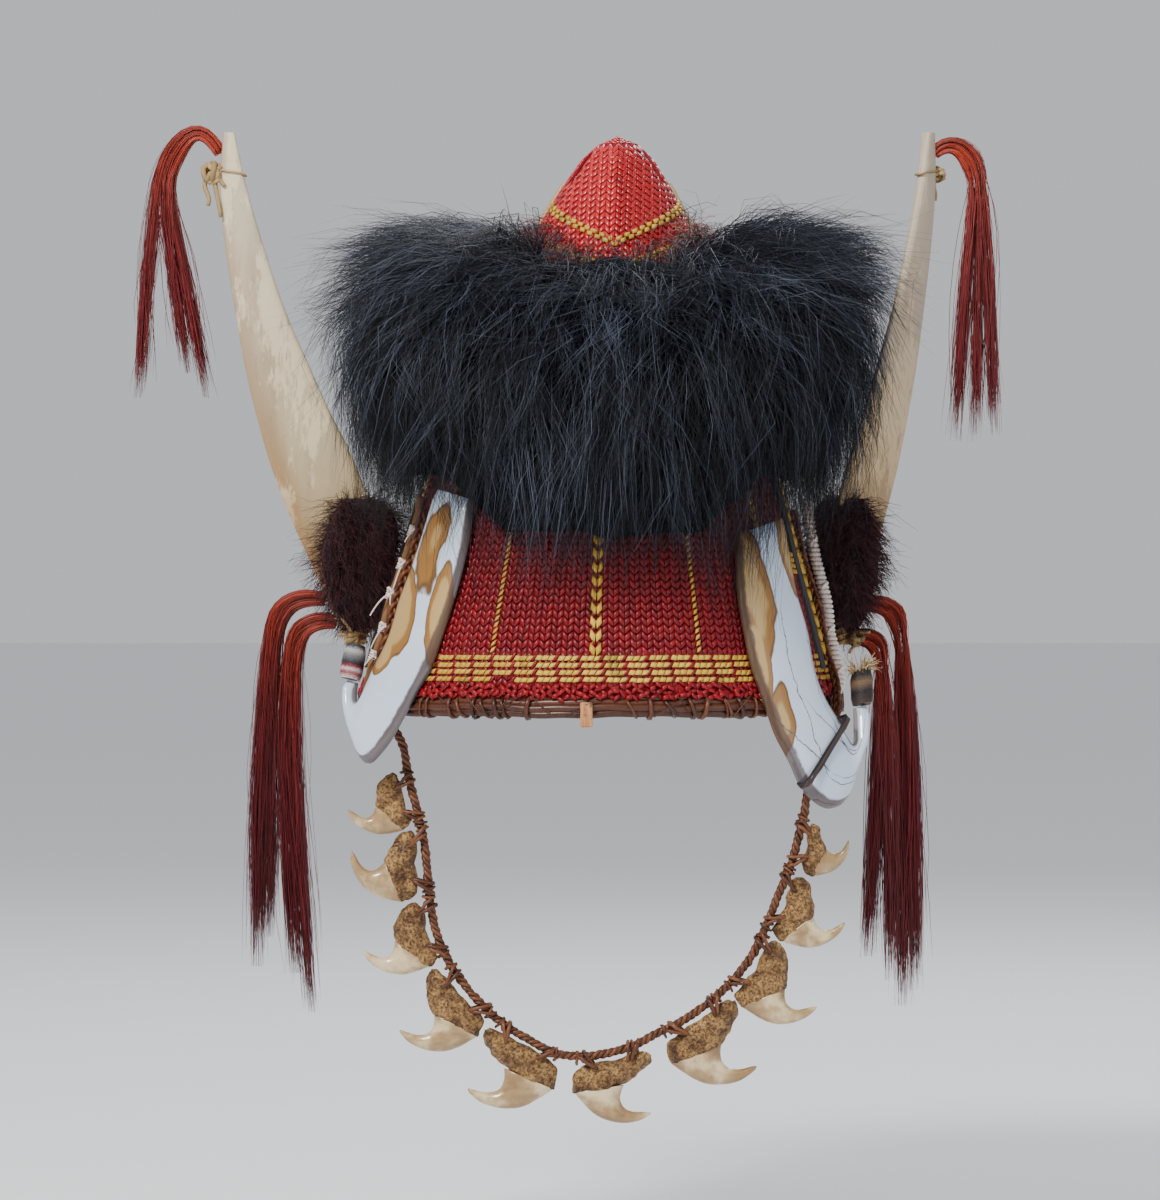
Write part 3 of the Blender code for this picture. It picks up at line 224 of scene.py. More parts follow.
class Finish:
    """A material in the making, and the Principled shader that its nodes feed."""

    def __init__(self, name, **constants):
        self.material = bpy.data.materials.new(name)
        self.material.use_nodes = True
        self.tree = self.material.node_tree
        self.shader = self.tree.nodes["Principled BSDF"]
        for socket, value in constants.items():
            self.shader.inputs[socket.replace("_", " ")].default_value = value

    def add(self, kind, settings=None, inputs=None, output=0):
        node = self.tree.nodes.new(kind)
        for name, value in (settings or {}).items():
            if name == "stops":
                self.set_stops(node.color_ramp.elements, value)
            else:
                setattr(node, name, value)
        for place, value in (inputs or {}).items():
            self.feed(node.inputs[place], value)
        return Term(self, node.outputs[output])

    def set_stops(self, elements, stops):
        while len(elements) < len(stops):
            elements.new(1)
        for element, (place, shade) in zip(elements, stops):
            element.position = place
            element.color = (*shade, 1)

    def feed(self, socket, value):
        if isinstance(value, Term):
            self.tree.links.new(value.socket, socket)
        elif socket.type == "RGBA" and len(value) == 3:
            socket.default_value = (*value, 1)
        else:
            socket.default_value = value

    def maths(self, operation, *values):
        return self.add("ShaderNodeMath", {"operation": operation}, dict(enumerate(values)))

    def mix(self, factor, a, b, blend="MIX"):
        settings = {"data_type": "RGBA", "blend_type": blend}
        return self.add("ShaderNodeMix", settings, {0: factor, 6: a, 7: b}, 2)

    def attribute(self, name):
        return self.add("ShaderNodeAttribute", {"attribute_name": name}, output="Fac")

    def place(self, stretch=(1, 1, 1)):
        """Object coordinates, stretched."""
        spot = self.add("ShaderNodeTexCoord", output="Object")
        return self.add("ShaderNodeMapping", inputs={"Vector": spot, "Scale": stretch})

    def noise(self, scale, detail=3, rough=0.5, stretch=(1, 1, 1)):
        inputs = {"Vector": self.place(stretch), "Scale": scale, "Detail": detail, "Roughness": rough}
        return self.add("ShaderNodeTexNoise", inputs=inputs)

    def bump(self, height, strength=0.5, distance=0.001):
        inputs = {"Height": height, "Strength": strength, "Distance": distance}
        self.feed(self.shader.inputs["Normal"], self.add("ShaderNodeBump", inputs=inputs))

    def paint(self, colour=None, roughness=None):
        if colour is not None:
            self.feed(self.shader.inputs["Base Color"], colour)
        if roughness is not None:
            self.feed(self.shader.inputs["Roughness"], roughness)
        return self.material


def dimmed(shade, share):
    """A colour with all of its parts made smaller or larger."""
    return tuple(share * part for part in shade)


def strand_finish(name, dark, light, roughness, grain=900):
    """Cane, hair or thread whose shade follows the tone of each strand: random, and in the ruff's long hair
    also painted light and shade.
    """
    finish = Finish(name, Roughness=roughness, Specular_IOR_Level=0.3)
    tone = finish.attribute("tone") + (finish.noise(grain) - 0.5) * 0.12
    shade = finish.mix(tone, dark, light)
    finish.bump(finish.noise(grain * 2), 0.25, 0.0002)
    return finish.paint(shade, roughness + 0.15 * finish.noise(grain / 3))


def cane_finish(name, dark, light, roughness=0.42, coat=0.10):
    """Split cane: fine fibres along a strip, pale on its crown from wear and from painted sheen."""
    finish = Finish(name, Coat_Weight=coat, Coat_Roughness=0.22, Specular_IOR_Level=0.24)
    fibre = finish.noise(1500, 4, 0.6, (1, 1, 0.35))
    # The pale crown of a strip is partly real wear and partly painted sheen
    worn = finish.attribute("worn") * (finish.noise(260, 4, 0.65) * 1.6 - 0.35)
    tone = finish.attribute("tone") * 0.75 + fibre * 0.5 - 0.25
    shade = finish.mix(finish.maths("MAXIMUM", tone, worn), dark, light)
    blot = finish.noise(85, 3, 0.6).above(0.63, 0.05)
    shade = finish.mix(blot * 0.55, shade, dimmed(dark, 0.35))
    finish.bump(fibre, 0.35, 0.0002)
    return finish.paint(shade, roughness + (finish.noise(420) - 0.5) * 0.3)


# Meshes


def table(xs, ys, at):
    """A smooth curve through the points of a table, read at some places."""
    xs = np.asarray(xs, float)
    ys = np.asarray(ys, float)
    steps = np.diff(ys, axis=0) / np.diff(xs).reshape(-1, *[1] * (ys.ndim - 1))
    slopes = np.concatenate([steps[:1], (steps[1:] + steps[:-1]) / 2, steps[-1:]])
    at = np.clip(at, xs[0], xs[-1])
    low = np.clip(np.searchsorted(xs, at, side="right") - 1, 0, len(xs) - 2)
    span = xs[low + 1] - xs[low]
    part = (at - xs[low]) / span
    part, span = (values.reshape(values.shape + (1,) * (ys.ndim - 1)) for values in (part, span))
    square = part * part
    cube = square * part
    return (
        ys[low] * (2 * cube - 3 * square + 1)
        + slopes[low] * span * (cube - 2 * square + part)
        + ys[low + 1] * (3 * square - 2 * cube)
        + slopes[low + 1] * span * (cube - square)
    )


def mesh_piece(name, made, material, replaces=(), sharp=None):
    """A finished piece from its points, groups of faces with as many corners each, and its attributes."""
    points, faces, attributes = made
    mesh = bpy.data.meshes.new(name)
    faces = [np.asarray(group).reshape(len(group), -1) for group in faces if len(group)]
    corners = np.concatenate([group.ravel() for group in faces])
    sizes = np.concatenate([np.full(len(group), group.shape[1]) for group in faces])
    mesh.vertices.add(len(points))
    mesh.vertices.foreach_set("co", np.ascontiguousarray(points, np.float32).ravel())
    mesh.loops.add(len(corners))
    mesh.loops.foreach_set("vertex_index", corners.astype(np.int32))
    mesh.polygons.add(len(sizes))
    mesh.polygons.foreach_set("loop_start", (np.cumsum(sizes) - sizes).astype(np.int32))
    mesh.update(calc_edges=True)
    mesh.validate()
    mesh.shade_smooth()
    if sharp:
        mesh.set_sharp_from_angle(angle=math.radians(sharp))
    for label, values in attributes.items():
        if np.ndim(values) < 2:
            values = np.broadcast_to(values, len(points))
        spots = mesh.attributes.new(label, "FLOAT", "POINT").data
        spots.foreach_set("value", np.ascontiguousarray(values, np.float32).ravel())
    mesh.materials.append(material)
    piece = bpy.data.objects.new(name, mesh)
    bpy.context.scene.collection.objects.link(piece)
    return worn_by_root(piece, replaces)


def worn_by_root(piece, replaces=()):
    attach(piece, "root")
    if replaces:
        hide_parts(*replaces)
    return piece


def sweep(paths, radii, sides=3, flat=1.0, closed=False):
    """Tubes along paths of as many points each: points, faces, each point's strand and its share along."""
    paths = np.asarray(paths, float)
    count, steps = paths.shape[:2]
    radii = np.broadcast_to(radii, (count, steps))
    ways = np.roll(paths, -1, axis=1) - np.roll(paths, 1, axis=1) if closed else np.gradient(paths, axis=1)
    ways /= np.linalg.norm(ways, axis=2, keepdims=True) + 1e-12
    first = np.cross(ways[:, 0], (0.3, 0.9, 0.31))
    side = first / (np.linalg.norm(first, axis=1, keepdims=True) + 1e-12)
    turns = np.arange(sides) * TAU / sides
    rings = []
    for step in range(steps):
        way = ways[:, step]
        side = side - way * np.sum(side * way, axis=1, keepdims=True)
        side /= np.linalg.norm(side, axis=1, keepdims=True) + 1e-12
        other = np.cross(way, side)
        ring = side[:, None] * np.cos(turns)[:, None] + other[:, None] * np.sin(turns)[:, None] * flat
        rings.append(paths[:, step, None] + ring * radii[:, step, None, None])
    points = np.stack(rings, axis=1)
    index = np.arange(count * steps * sides).reshape(count, steps, sides)
    after = np.roll(index, -1, axis=2)
    low, high = (index, np.roll(index, -1, axis=1)) if closed else (index[:, :-1], index[:, 1:])
    low_after, high_after = (after, np.roll(after, -1, axis=1)) if closed else (after[:, :-1], after[:, 1:])
    walls = np.stack([low, low_after, high_after, high], axis=-1).reshape(-1, 4)
    ends = [] if closed else [np.concatenate([index[:, 0, ::-1], index[:, -1]])]
    along = np.broadcast_to(np.linspace(0, 1, steps)[None, :, None], index.shape)
    strand = np.broadcast_to(np.arange(count)[:, None, None], index.shape)
    return points.reshape(-1, 3), [walls, *ends], strand.ravel(), along.ravel()


def skin(rings, flip):
    """Points and faces over rings of as many points each, with a face on each end, turned over if asked."""
    steps, sides = rings.shape[:2]
    index = np.arange(steps * sides).reshape(steps, sides)
    after = np.roll(index, -1, axis=1)
    walls = np.stack([index[:-1], after[:-1], after[1:], index[1:]], axis=-1).reshape(-1, 4)
    faces = [walls, index[:1, ::-1], index[-1:]]
    return rings.reshape(-1, 3), [group[:, ::-1] for group in faces] if flip else faces


def many(parts):
    """Joins the points, faces and attributes of several shapes into one."""
    points, groups, extra, base = [], {}, {}, 0
    for found, faces, values in parts:
        points.append(found)
        for group in faces:
            group = np.asarray(group).reshape(len(group), -1)
            groups.setdefault(group.shape[1], []).append(group + base)
        for label, value in values.items():
            extra.setdefault(label, []).append(np.broadcast_to(value, len(found)))
        base += len(found)
    faces = [np.concatenate(group) for group in groups.values()]
    return np.concatenate(points), faces, {label: np.concatenate(value) for label, value in extra.items()}


def unit(vectors):
    return vectors / (np.linalg.norm(vectors, axis=-1, keepdims=True) + 1e-12)


# The cap's surface


def cap_surface(angle, height, out=0.0):
    """Points that far outside the cap's outer face."""
    angle, height, out = np.broadcast_arrays(angle, height, out)
    rise = np.clip((height - CAP_FOOT) / CAP_RISE, 0, 1)
    strength = np.clip((rise - CREASE_START) / (CREASE_FULL - CREASE_START), 0, 1)
    off_fold = np.abs((angle + math.pi / 2) % math.pi - math.pi / 2)
    fold = 1 + CREASE_DEPTH * strength * np.maximum(0, 1 - off_fold / CREASE_SPREAD)
    share = np.interp(rise, CAP_RISES, CAP_RADII) * fold
    x = CROWN_LEAN * rise**1.5 + (RIM_HALF_WIDTH * share + out) * np.sin(angle)
    y = -(RIM_HALF_DEPTH * share + out) * np.cos(angle)
    return np.stack([x, y, height], axis=-1)


def quarter_arcs(height):
    """Angles from a fold to the side of the cap at a height, and the way round to each."""
    angles = np.linspace(0, math.pi / 2, 91)
    points = cap_surface(angles, height)
    steps = np.linalg.norm(np.diff(points, axis=0), axis=1)
    return angles, np.concatenate([[0], np.cumsum(steps)])


CELL_ACROSS = np.array([-1, 1, 1, -1, -0.84, 0.84, 0.84, -0.84])
CELL_UP = np.array([-1, -1, 1, 1, -0.72, -0.72, 0.72, 0.72])
CELL_TOP = np.array([0, 0, 0, 0, 1, 1, 1, 1])
CELL_FACES = np.array([[0, 3, 2, 1], [4, 5, 6, 7], [0, 1, 5, 4], [1, 2, 6, 5], [2, 3, 7, 6], [3, 0, 4, 7]])


def cells(
    left, right, height, half_height, slant=0.0, skew=0.0, lift=0.0008, sunk=0.0, tip=0.0, tone=0.5, worn=0.0
):
    """Raised bits of strip on the cap between two angles. Slant raises their right end, skew moves their top
    to the right, and tip lifts their upper edge."""
    left, right, height, half_height, slant, skew, lift, sunk, tip, tone, worn = (
        np.broadcast_arrays(left, right, height, half_height, slant, skew, lift, sunk, tip, tone, worn)
    )
    column = lambda values: values.reshape(-1, 1)
    middle = column((left + right) / 2)
    half = column((right - left) / 2)
    angles = middle + half * CELL_ACROSS + column(skew) * CELL_UP
    heights = column(height) + column(half_height) * CELL_UP + column(slant) * CELL_ACROSS
    outs = column(sunk) + column(lift) * CELL_TOP + column(tip) * CELL_TOP * CELL_UP
    points = cap_surface(angles, heights, outs).reshape(-1, 3)
    faces = (CELL_FACES + 8 * np.arange(left.size)[:, None, None]).reshape(-1, 4)
    spread = lambda values: np.repeat(values.ravel(), 8)
    return points, [faces], {"tone": spread(tone), "worn": spread(worn) * np.tile(CELL_TOP, left.size)}


WEAVE_FOOT, WEAVE_HEAD = 0.0285, 0.118
# From where, and over what height, the weave's colour is darkened under the fur as painted shadow
WEAVE_SHADE_FROM, WEAVE_SHADE_OVER = 0.075, 0.03
STRIP_SLANT = 0.00108


def lower_weave(settings, random):
    """The herringbone from the yellow band up into the fur."""
    edges = np.arange(settings.columns + 1) * TAU / settings.columns
    rows = np.arange(WEAVE_FOOT, WEAVE_HEAD, settings.pitch)
    column, row = [grid.ravel() for grid in np.meshgrid(np.arange(settings.columns), np.arange(len(rows)))]
    slant = np.where(column % 2, -1, 1) * STRIP_SLANT
    jitter = random.normal(0, 1, (4, column.size))
    # Rows that run up under the fur get a lower tone: painted shadow of the fur
    shaded = np.clip((rows[row] - WEAVE_SHADE_FROM) / WEAVE_SHADE_OVER, 0, 1)
    return cells(
        edges[column], edges[column + 1], rows[row] + jitter[0] * 0.00012, settings.pitch * 0.475, slant,
        lift=settings.relief * (1 + 0.12 * jitter[1]), sunk=0.0001, tip=0.00022 + 0.00008 * jitter[2],
        tone=np.clip(0.30 + 0.2 * jitter[3] - 0.3 * shaded, 0, 1), worn=0.30,
    )


CROWN_WEAVE_FOOT = 0.170
CROWN_STRIP_SLANT = 0.00105
# The rows round the apex: height and number of strips
APEX_ROWS = ((0.2556, 30), (0.2569, 22), (0.2580, 16), (0.2586, 10))
APEX_ROWS_FROM = 0.2552


def crown_weave(settings, random):
    """The herringbone on the crown: columns side by side from the folds, cut off at the sides, and the rows
    that close it at the apex."""
    width = settings.crown_column
    lefts, rights, heights, slants = [], [], [], []
    for height in np.arange(CROWN_WEAVE_FOOT, APEX - 0.004, settings.pitch * 0.92):
        angles, arcs = quarter_arcs(height)
        for number in range(int(arcs[-1] / width)):
            near, far = np.interp([number * width, (number + 1) * width], arcs, angles)
            for fold in (0, math.pi):
                for side in (-1, 1):
                    low, high = sorted((fold + side * near, fold + side * far))
                    if near_slot((low + high) / 2, height):
                        continue
                    lefts.append(low)
                    rights.append(high)
                    heights.append(height)
                    slants.append(side * (1 if number % 2 else -1) * CROWN_STRIP_SLANT)
    for height, number in APEX_ROWS:
        turn = np.arange(number) * TAU / number
        lefts += list(turn)
        rights += list(turn + TAU / number)
        heights += [height] * number
        slants += list(np.where(np.arange(number) % 2, 0.0003, -0.0003))
    heights = np.array(heights)
    jitter = random.normal(0, 1, (4, len(lefts)))
    # Cells on the crown's left facet, towards the key lamp, get a higher tone and a paler crown as a painted
    # highlight; the low tone on the right facet is painted shade that keeps it deep red
    facing = np.sin(np.array(lefts))
    tone = np.where(facing < 0, 0.52, 0.04) + 0.13 * jitter[3]
    return cells(
        lefts, rights, heights + jitter[0] * 0.00004,
        np.where(heights > APEX_ROWS_FROM, 0.00045, settings.pitch * 0.44), np.array(slants),
        lift=settings.relief * 0.85 * (1 + 0.12 * jitter[1]), sunk=0.0001, tip=0.00018 + 0.00007 * jitter[2],
        tone=np.clip(tone, 0, 1), worn=np.where(facing < 0, 0.75, 0.12),
    )


SLOT_ANGLE = math.radians(62)
SLOT_LOW, SLOT_HIGH = APEX - 0.0215, APEX - 0.0075
SLOT_HALF_WIDTH = 0.0022


def near_slot(angle, height):
    """Whether a spot lies over one of the two slots through the crown's wall."""
    if not SLOT_LOW < height < SLOT_HIGH:
        return False
    off = abs(abs(math.remainder(angle, TAU)) - SLOT_ANGLE)
    radius = np.interp((height - CAP_FOOT) / CAP_RISE, CAP_RISES, CAP_RADII) * RIM_HALF_WIDTH
    return off * radius < SLOT_HALF_WIDTH


BAND_ROWS = (0.0257, 0.0226, 0.0195, 0.0164)
BAND_RADIUS = 0.106
SIDE_BAND_ANGLE = math.radians(72)
SIDE_BAND_ROWS = (0.0632, 0.0657, 0.0682, 0.0707)
TIE_ROWS = (0.0152, 0.0180, 0.0208, 0.0236, 0.0264)
EDGE_ROWS = (0.0137, 0.0113, 0.0096)


def dashes(settings, random):
    """The band of four rows of yellow dashes, a few of them broken off in the lowest, and the two short
    bands on the sides."""
    count = round(TAU * BAND_RADIUS / settings.dash)
    step = TAU / count
    parts = []
    for row, height in enumerate(BAND_ROWS):
        start = np.arange(count) * step + row * 0.004
        keep = random.random(count) > (0.12 if row == 3 else 0.01)
        start = start[keep]
        jitter = random.normal(0, 1, (4, len(start)))
        pale = np.clip(0.45 + 0.5 * np.sin(start * 3.1 + 1.3) + 0.18 * jitter[3], 0, 1)
        for part in range(3):
            low = start + step * (0.10 + 0.29 * part)
            end = low + step * 0.285
            bulge = 0.0010 if part == 1 else 0.00085
            slant = 0.00012 * (part - 1) + 0.0001 * jitter[1]
            parts.append(cells(
                low, end, height + jitter[0] * 0.00012, 0.00112, slant, 0.006,
                lift=bulge, sunk=0.00025, tip=0.0001, tone=pale, worn=0.6,
            ))
    for side in (-1, 1):
        for height in SIDE_BAND_ROWS:
            start = side * SIDE_BAND_ANGLE + np.arange(-5, 5) * 0.085
            jitter = random.normal(0, 1, len(start))
            parts.append(cells(
                start + 0.002, start + 0.083, height + 0.0001 * jitter, 0.00115, 0.0001, 0.004,
                lift=0.0010, sunk=0.0005, tone=np.clip(0.35 + 0.2 * jitter, 0, 1), worn=0.3,
            ))
    return many(parts)


def red_ties(settings, random):
    """The red strips that slant across the gaps of the yellow band, and the ragged plaited edge below."""
    count = round(TAU * BAND_RADIUS / settings.dash)
    step = TAU / count
    parts = []
    for row, height in enumerate(BAND_ROWS):
        start = np.arange(count) * step + row * 0.004
        jitter = random.normal(0, 1, (3, count))
        parts.append(cells(
            start - step * 0.09, start + step * 0.11, height + 0.0002, 0.00155, 0.0003 + 0.0002 * jitter[0],
            0.008, lift=0.00095 + 0.0001 * jitter[1], sunk=0.0002,
            tone=np.clip(0.4 + 0.2 * jitter[2], 0, 1), worn=0.8,
        ))
    edges = np.arange(settings.columns + 1) * TAU / settings.columns
    lefts, rights = edges[:-1], edges[1:]
    column = np.arange(settings.columns)
    for height in TIE_ROWS:
        slant = np.where(column % 2, -1, 1) * 0.0010
        parts.append(cells(
            lefts, rights, height, 0.0013, slant, lift=0.00035, sunk=0.00005, tone=0.25, worn=0.2,
        ))
    for row, height in enumerate(EDGE_ROWS):
        jitter = random.normal(0, 1, (6, len(column)))
        keep = random.random(len(column)) > 0.05
        slant = np.where((column + row) % 2, -1, 1) * 0.0011 + 0.0003 * jitter[5]
        parts.append(cells(
            (lefts - 0.002 * jitter[1] ** 2)[keep], (rights + 0.002 * jitter[2] ** 2)[keep],
            (height + 0.0007 * jitter[0])[keep], 0.00115, slant[keep] * 0.8,
            lift=0.0012 + 0.00045 * jitter[3][keep], sunk=0.0003, tip=0.0002 * jitter[4][keep],
            tone=np.clip(0.55 + 0.3 * jitter[3][keep], 0, 1), worn=1.0,
        ))
    return many(parts)


STITCH_LINES = 14
STITCH_OFFSET = math.radians(-1.5)
STITCH_FOOT, STITCH_HEAD = 0.0292, 0.112
# The distance from stitch to stitch in leaf pairs, beads and zigzags
STITCH_PITCHES = (0.0059, 0.0027, 0.0036)


def stitches(random):
    """The upright lines of yellow stitches: ears of leaf pairs, small beads and zigzags in turn."""
    parts = []
    for line in range(STITCH_LINES):
        angle = STITCH_OFFSET + line * TAU / STITCH_LINES
        kind = line % 3
        heights = np.arange(STITCH_FOOT, STITCH_HEAD, STITCH_PITCHES[kind])
        jitter = random.normal(0, 1, (3, len(heights)))
        tone = np.clip(0.5 + 0.25 * jitter[0], 0, 1)
        if kind == 0:
            for side in (-1, 1):
                near, far = angle + side * 0.0012, angle + side * 0.0245
                parts.append(cells(
                    min(near, far), max(near, far), heights + 0.0001 * jitter[1], 0.0019, side * 0.0013,
                    side * -0.002, lift=0.0011, sunk=0.0006, tone=tone, worn=0.4,
                ))
        elif kind == 1:
            parts.append(cells(
                angle - 0.0085, angle + 0.0085, heights, 0.0011, 0.0005, 0.004,
                lift=0.0009, sunk=0.0006, tone=tone, worn=0.3,
            ))
        else:
            for side in (-1, 1):
                middle = angle + side * 0.012
                shift = np.where(np.arange(len(heights)) % 2, 0.004, -0.004)
                parts.append(cells(
                    middle - 0.008 + shift, middle + 0.008 + shift, heights, 0.0012, 0.0009 * side,
                    lift=0.0009, sunk=0.0006, tone=tone, worn=0.3,
                ))
    return many(parts)


# The crown's rows of dashes: height at the fold, rise, and share of the way to the side
CROWN_ROWS = ((0.2072, 0.0225, 0.97), (0.1945, 0.018, 0.55))
CROWN_DASH = 0.0037


def crown_zigzag(random):
    """The paired yellow dashes that rise from each fold to the sides of the crown."""
    parts = []
    for start, rise, reach in CROWN_ROWS:
        for fold in (0, math.pi):
            for side in (-1, 1):
                for number in range(14):
                    height = start + rise * number / 13
                    angles, arcs = quarter_arcs(height)
                    way = 0.0012 + number * CROWN_DASH
                    if way > arcs[-1] * reach:
                        break
                    for row in (0, 1):
                        spot = way + (0.0009 if row else -0.0009)
                        near, far = np.interp([spot - 0.00135, spot + 0.00135], arcs, angles)
                        low, high = sorted((fold + side * near, fold + side * far))
                        parts.append(cells(
                            low, high, height + row * 0.00255, 0.00112, side * 0.00035,
                            lift=0.0010, sunk=0.0006, tone=float(random.uniform(0.35, 1)), worn=0.6,
                        ))
    return many(parts)


# Operators: each makes one piece or one group of like pieces


def settings_of(context):
    return context.scene.headdress


class HEADDRESS_OT_weave(bpy.types.Operator):
    """Weave the red and yellow cane over the cap"""

    bl_idname = "headdress.weave"
    bl_label = "Weave"

    def execute(self, context):
        settings = settings_of(context).weave
        random = np.random.default_rng(11)
        red = cane_finish("red_cane_weave", settings.red, settings.bright_red)
        crown_red = cane_finish("red_cane_crown", (0.30, 0.001, 0.003), (0.70, 0.040, 0.045), 0.28, 0.4)
        yellow = cane_finish("yellow_cane", settings.yellow, settings.pale_yellow, 0.45, 0.2)
        frame["nodes"]["cap_shell"].data.materials[0] = cane_finish(
            "red_cane_lining", (0.20, 0.004, 0.008), (0.30, 0.006, 0.012), 0.75, 0.0
        )
        for name, made, finish, slot in (
            ("weave_lower", lower_weave(settings, random), red, "red_cane"),
            ("weave_crown", crown_weave(settings, random), crown_red, "red_cane"),
            ("weave_band", dashes(settings, random), yellow, "cream_cane"),
            ("weave_ties", red_ties(settings, random), red, "red_cane"),
            ("weave_stitches", stitches(random), yellow, "cream_cane"),
            ("weave_crown_zigzag", crown_zigzag(random), yellow, "cream_cane"),
        ):
            mesh_piece(name, made, finish)
        return {"FINISHED"}


FOLD_SPREAD = 0.66


def ruff_outline(angle):
    """The ruff's reach and drop at angles round the cap."""
    off = np.degrees(np.abs(np.mod(angle + math.pi, TAU) - math.pi))
    drop = np.interp(off, RUFF_ANGLES, RUFF_DROPS) * (1 + 0.03 * np.sin(angle) ** 2)
    return RUFF_REACH * np.interp(off, RUFF_ANGLES, RUFF_REACHES), drop


def fold_share(angle):
    """How near angles are to the folds at the front and the back of the cap, from 0 to 1."""
    return np.exp(-((np.mod(angle + math.pi / 2, math.pi) - math.pi / 2) / FOLD_SPREAD) ** 2)


def ruff_surface(angle, out, down):
    """Points of the ruff's surface: shares of the way out from the cap's wall and down to the hem."""
    reach, drop = ruff_outline(angle)
    height = RUFF_CREST - down * drop
    wall = cap_surface(angle, height)
    lean = CROWN_LEAN * (np.clip(height - CAP_FOOT, 0, CAP_RISE) / CAP_RISE) ** 1.5
    rim = np.stack([np.sin(angle) * reach + lean, -np.cos(angle) * reach, height], axis=-1)
    return wall + (rim - wall) * np.asarray(out)[..., None]


# By layer from the lowest hair to the topmost: where a hair's tip lies, out and down, and where it bends
FUR_LAYERS = np.array([0.0, 0.14, 0.30, 0.46, 0.62, 0.80, 1.0])
FUR_TIPS = np.array([
    (0.30, 1.16), (0.54, 1.08), (0.80, 0.84), (0.97, 0.54), (1.02, 0.30), (0.92, 0.13), (0.66, 0.03),
])
FUR_BENDS = np.array([
    (0.72, 0.52), (0.90, 0.40), (0.98, 0.20), (0.88, 0.08), (0.70, 0.02), (0.52, -0.02), (0.36, -0.03),
])
HAIR_ROOT = 0.157
HAIR_TAPER = np.array([0.7, 1.0, 1.0, 0.9, 0.6, 0.16])
WILD_SHARE = 0.30
STRAY_SHARE = 0.09
STRAY_OUT = (1.03, 1.20)
OUT_LIMIT = 1.19
# Where the hem sags over the plates, in radians off the front, and how much by layer
SAG_ANGLE, SAG_SPREAD = 0.72, 0.28
SAG_LAYERS, SAG_DROPS = (0, 0.12, 0.32, 0.5), (0.12, 0.24, 0.22, 0)
# How far forwards and back a stray hair may reach
RUFF_FRONT_LIMIT = -0.161
RUFF_BACK_LIMIT = 0.163


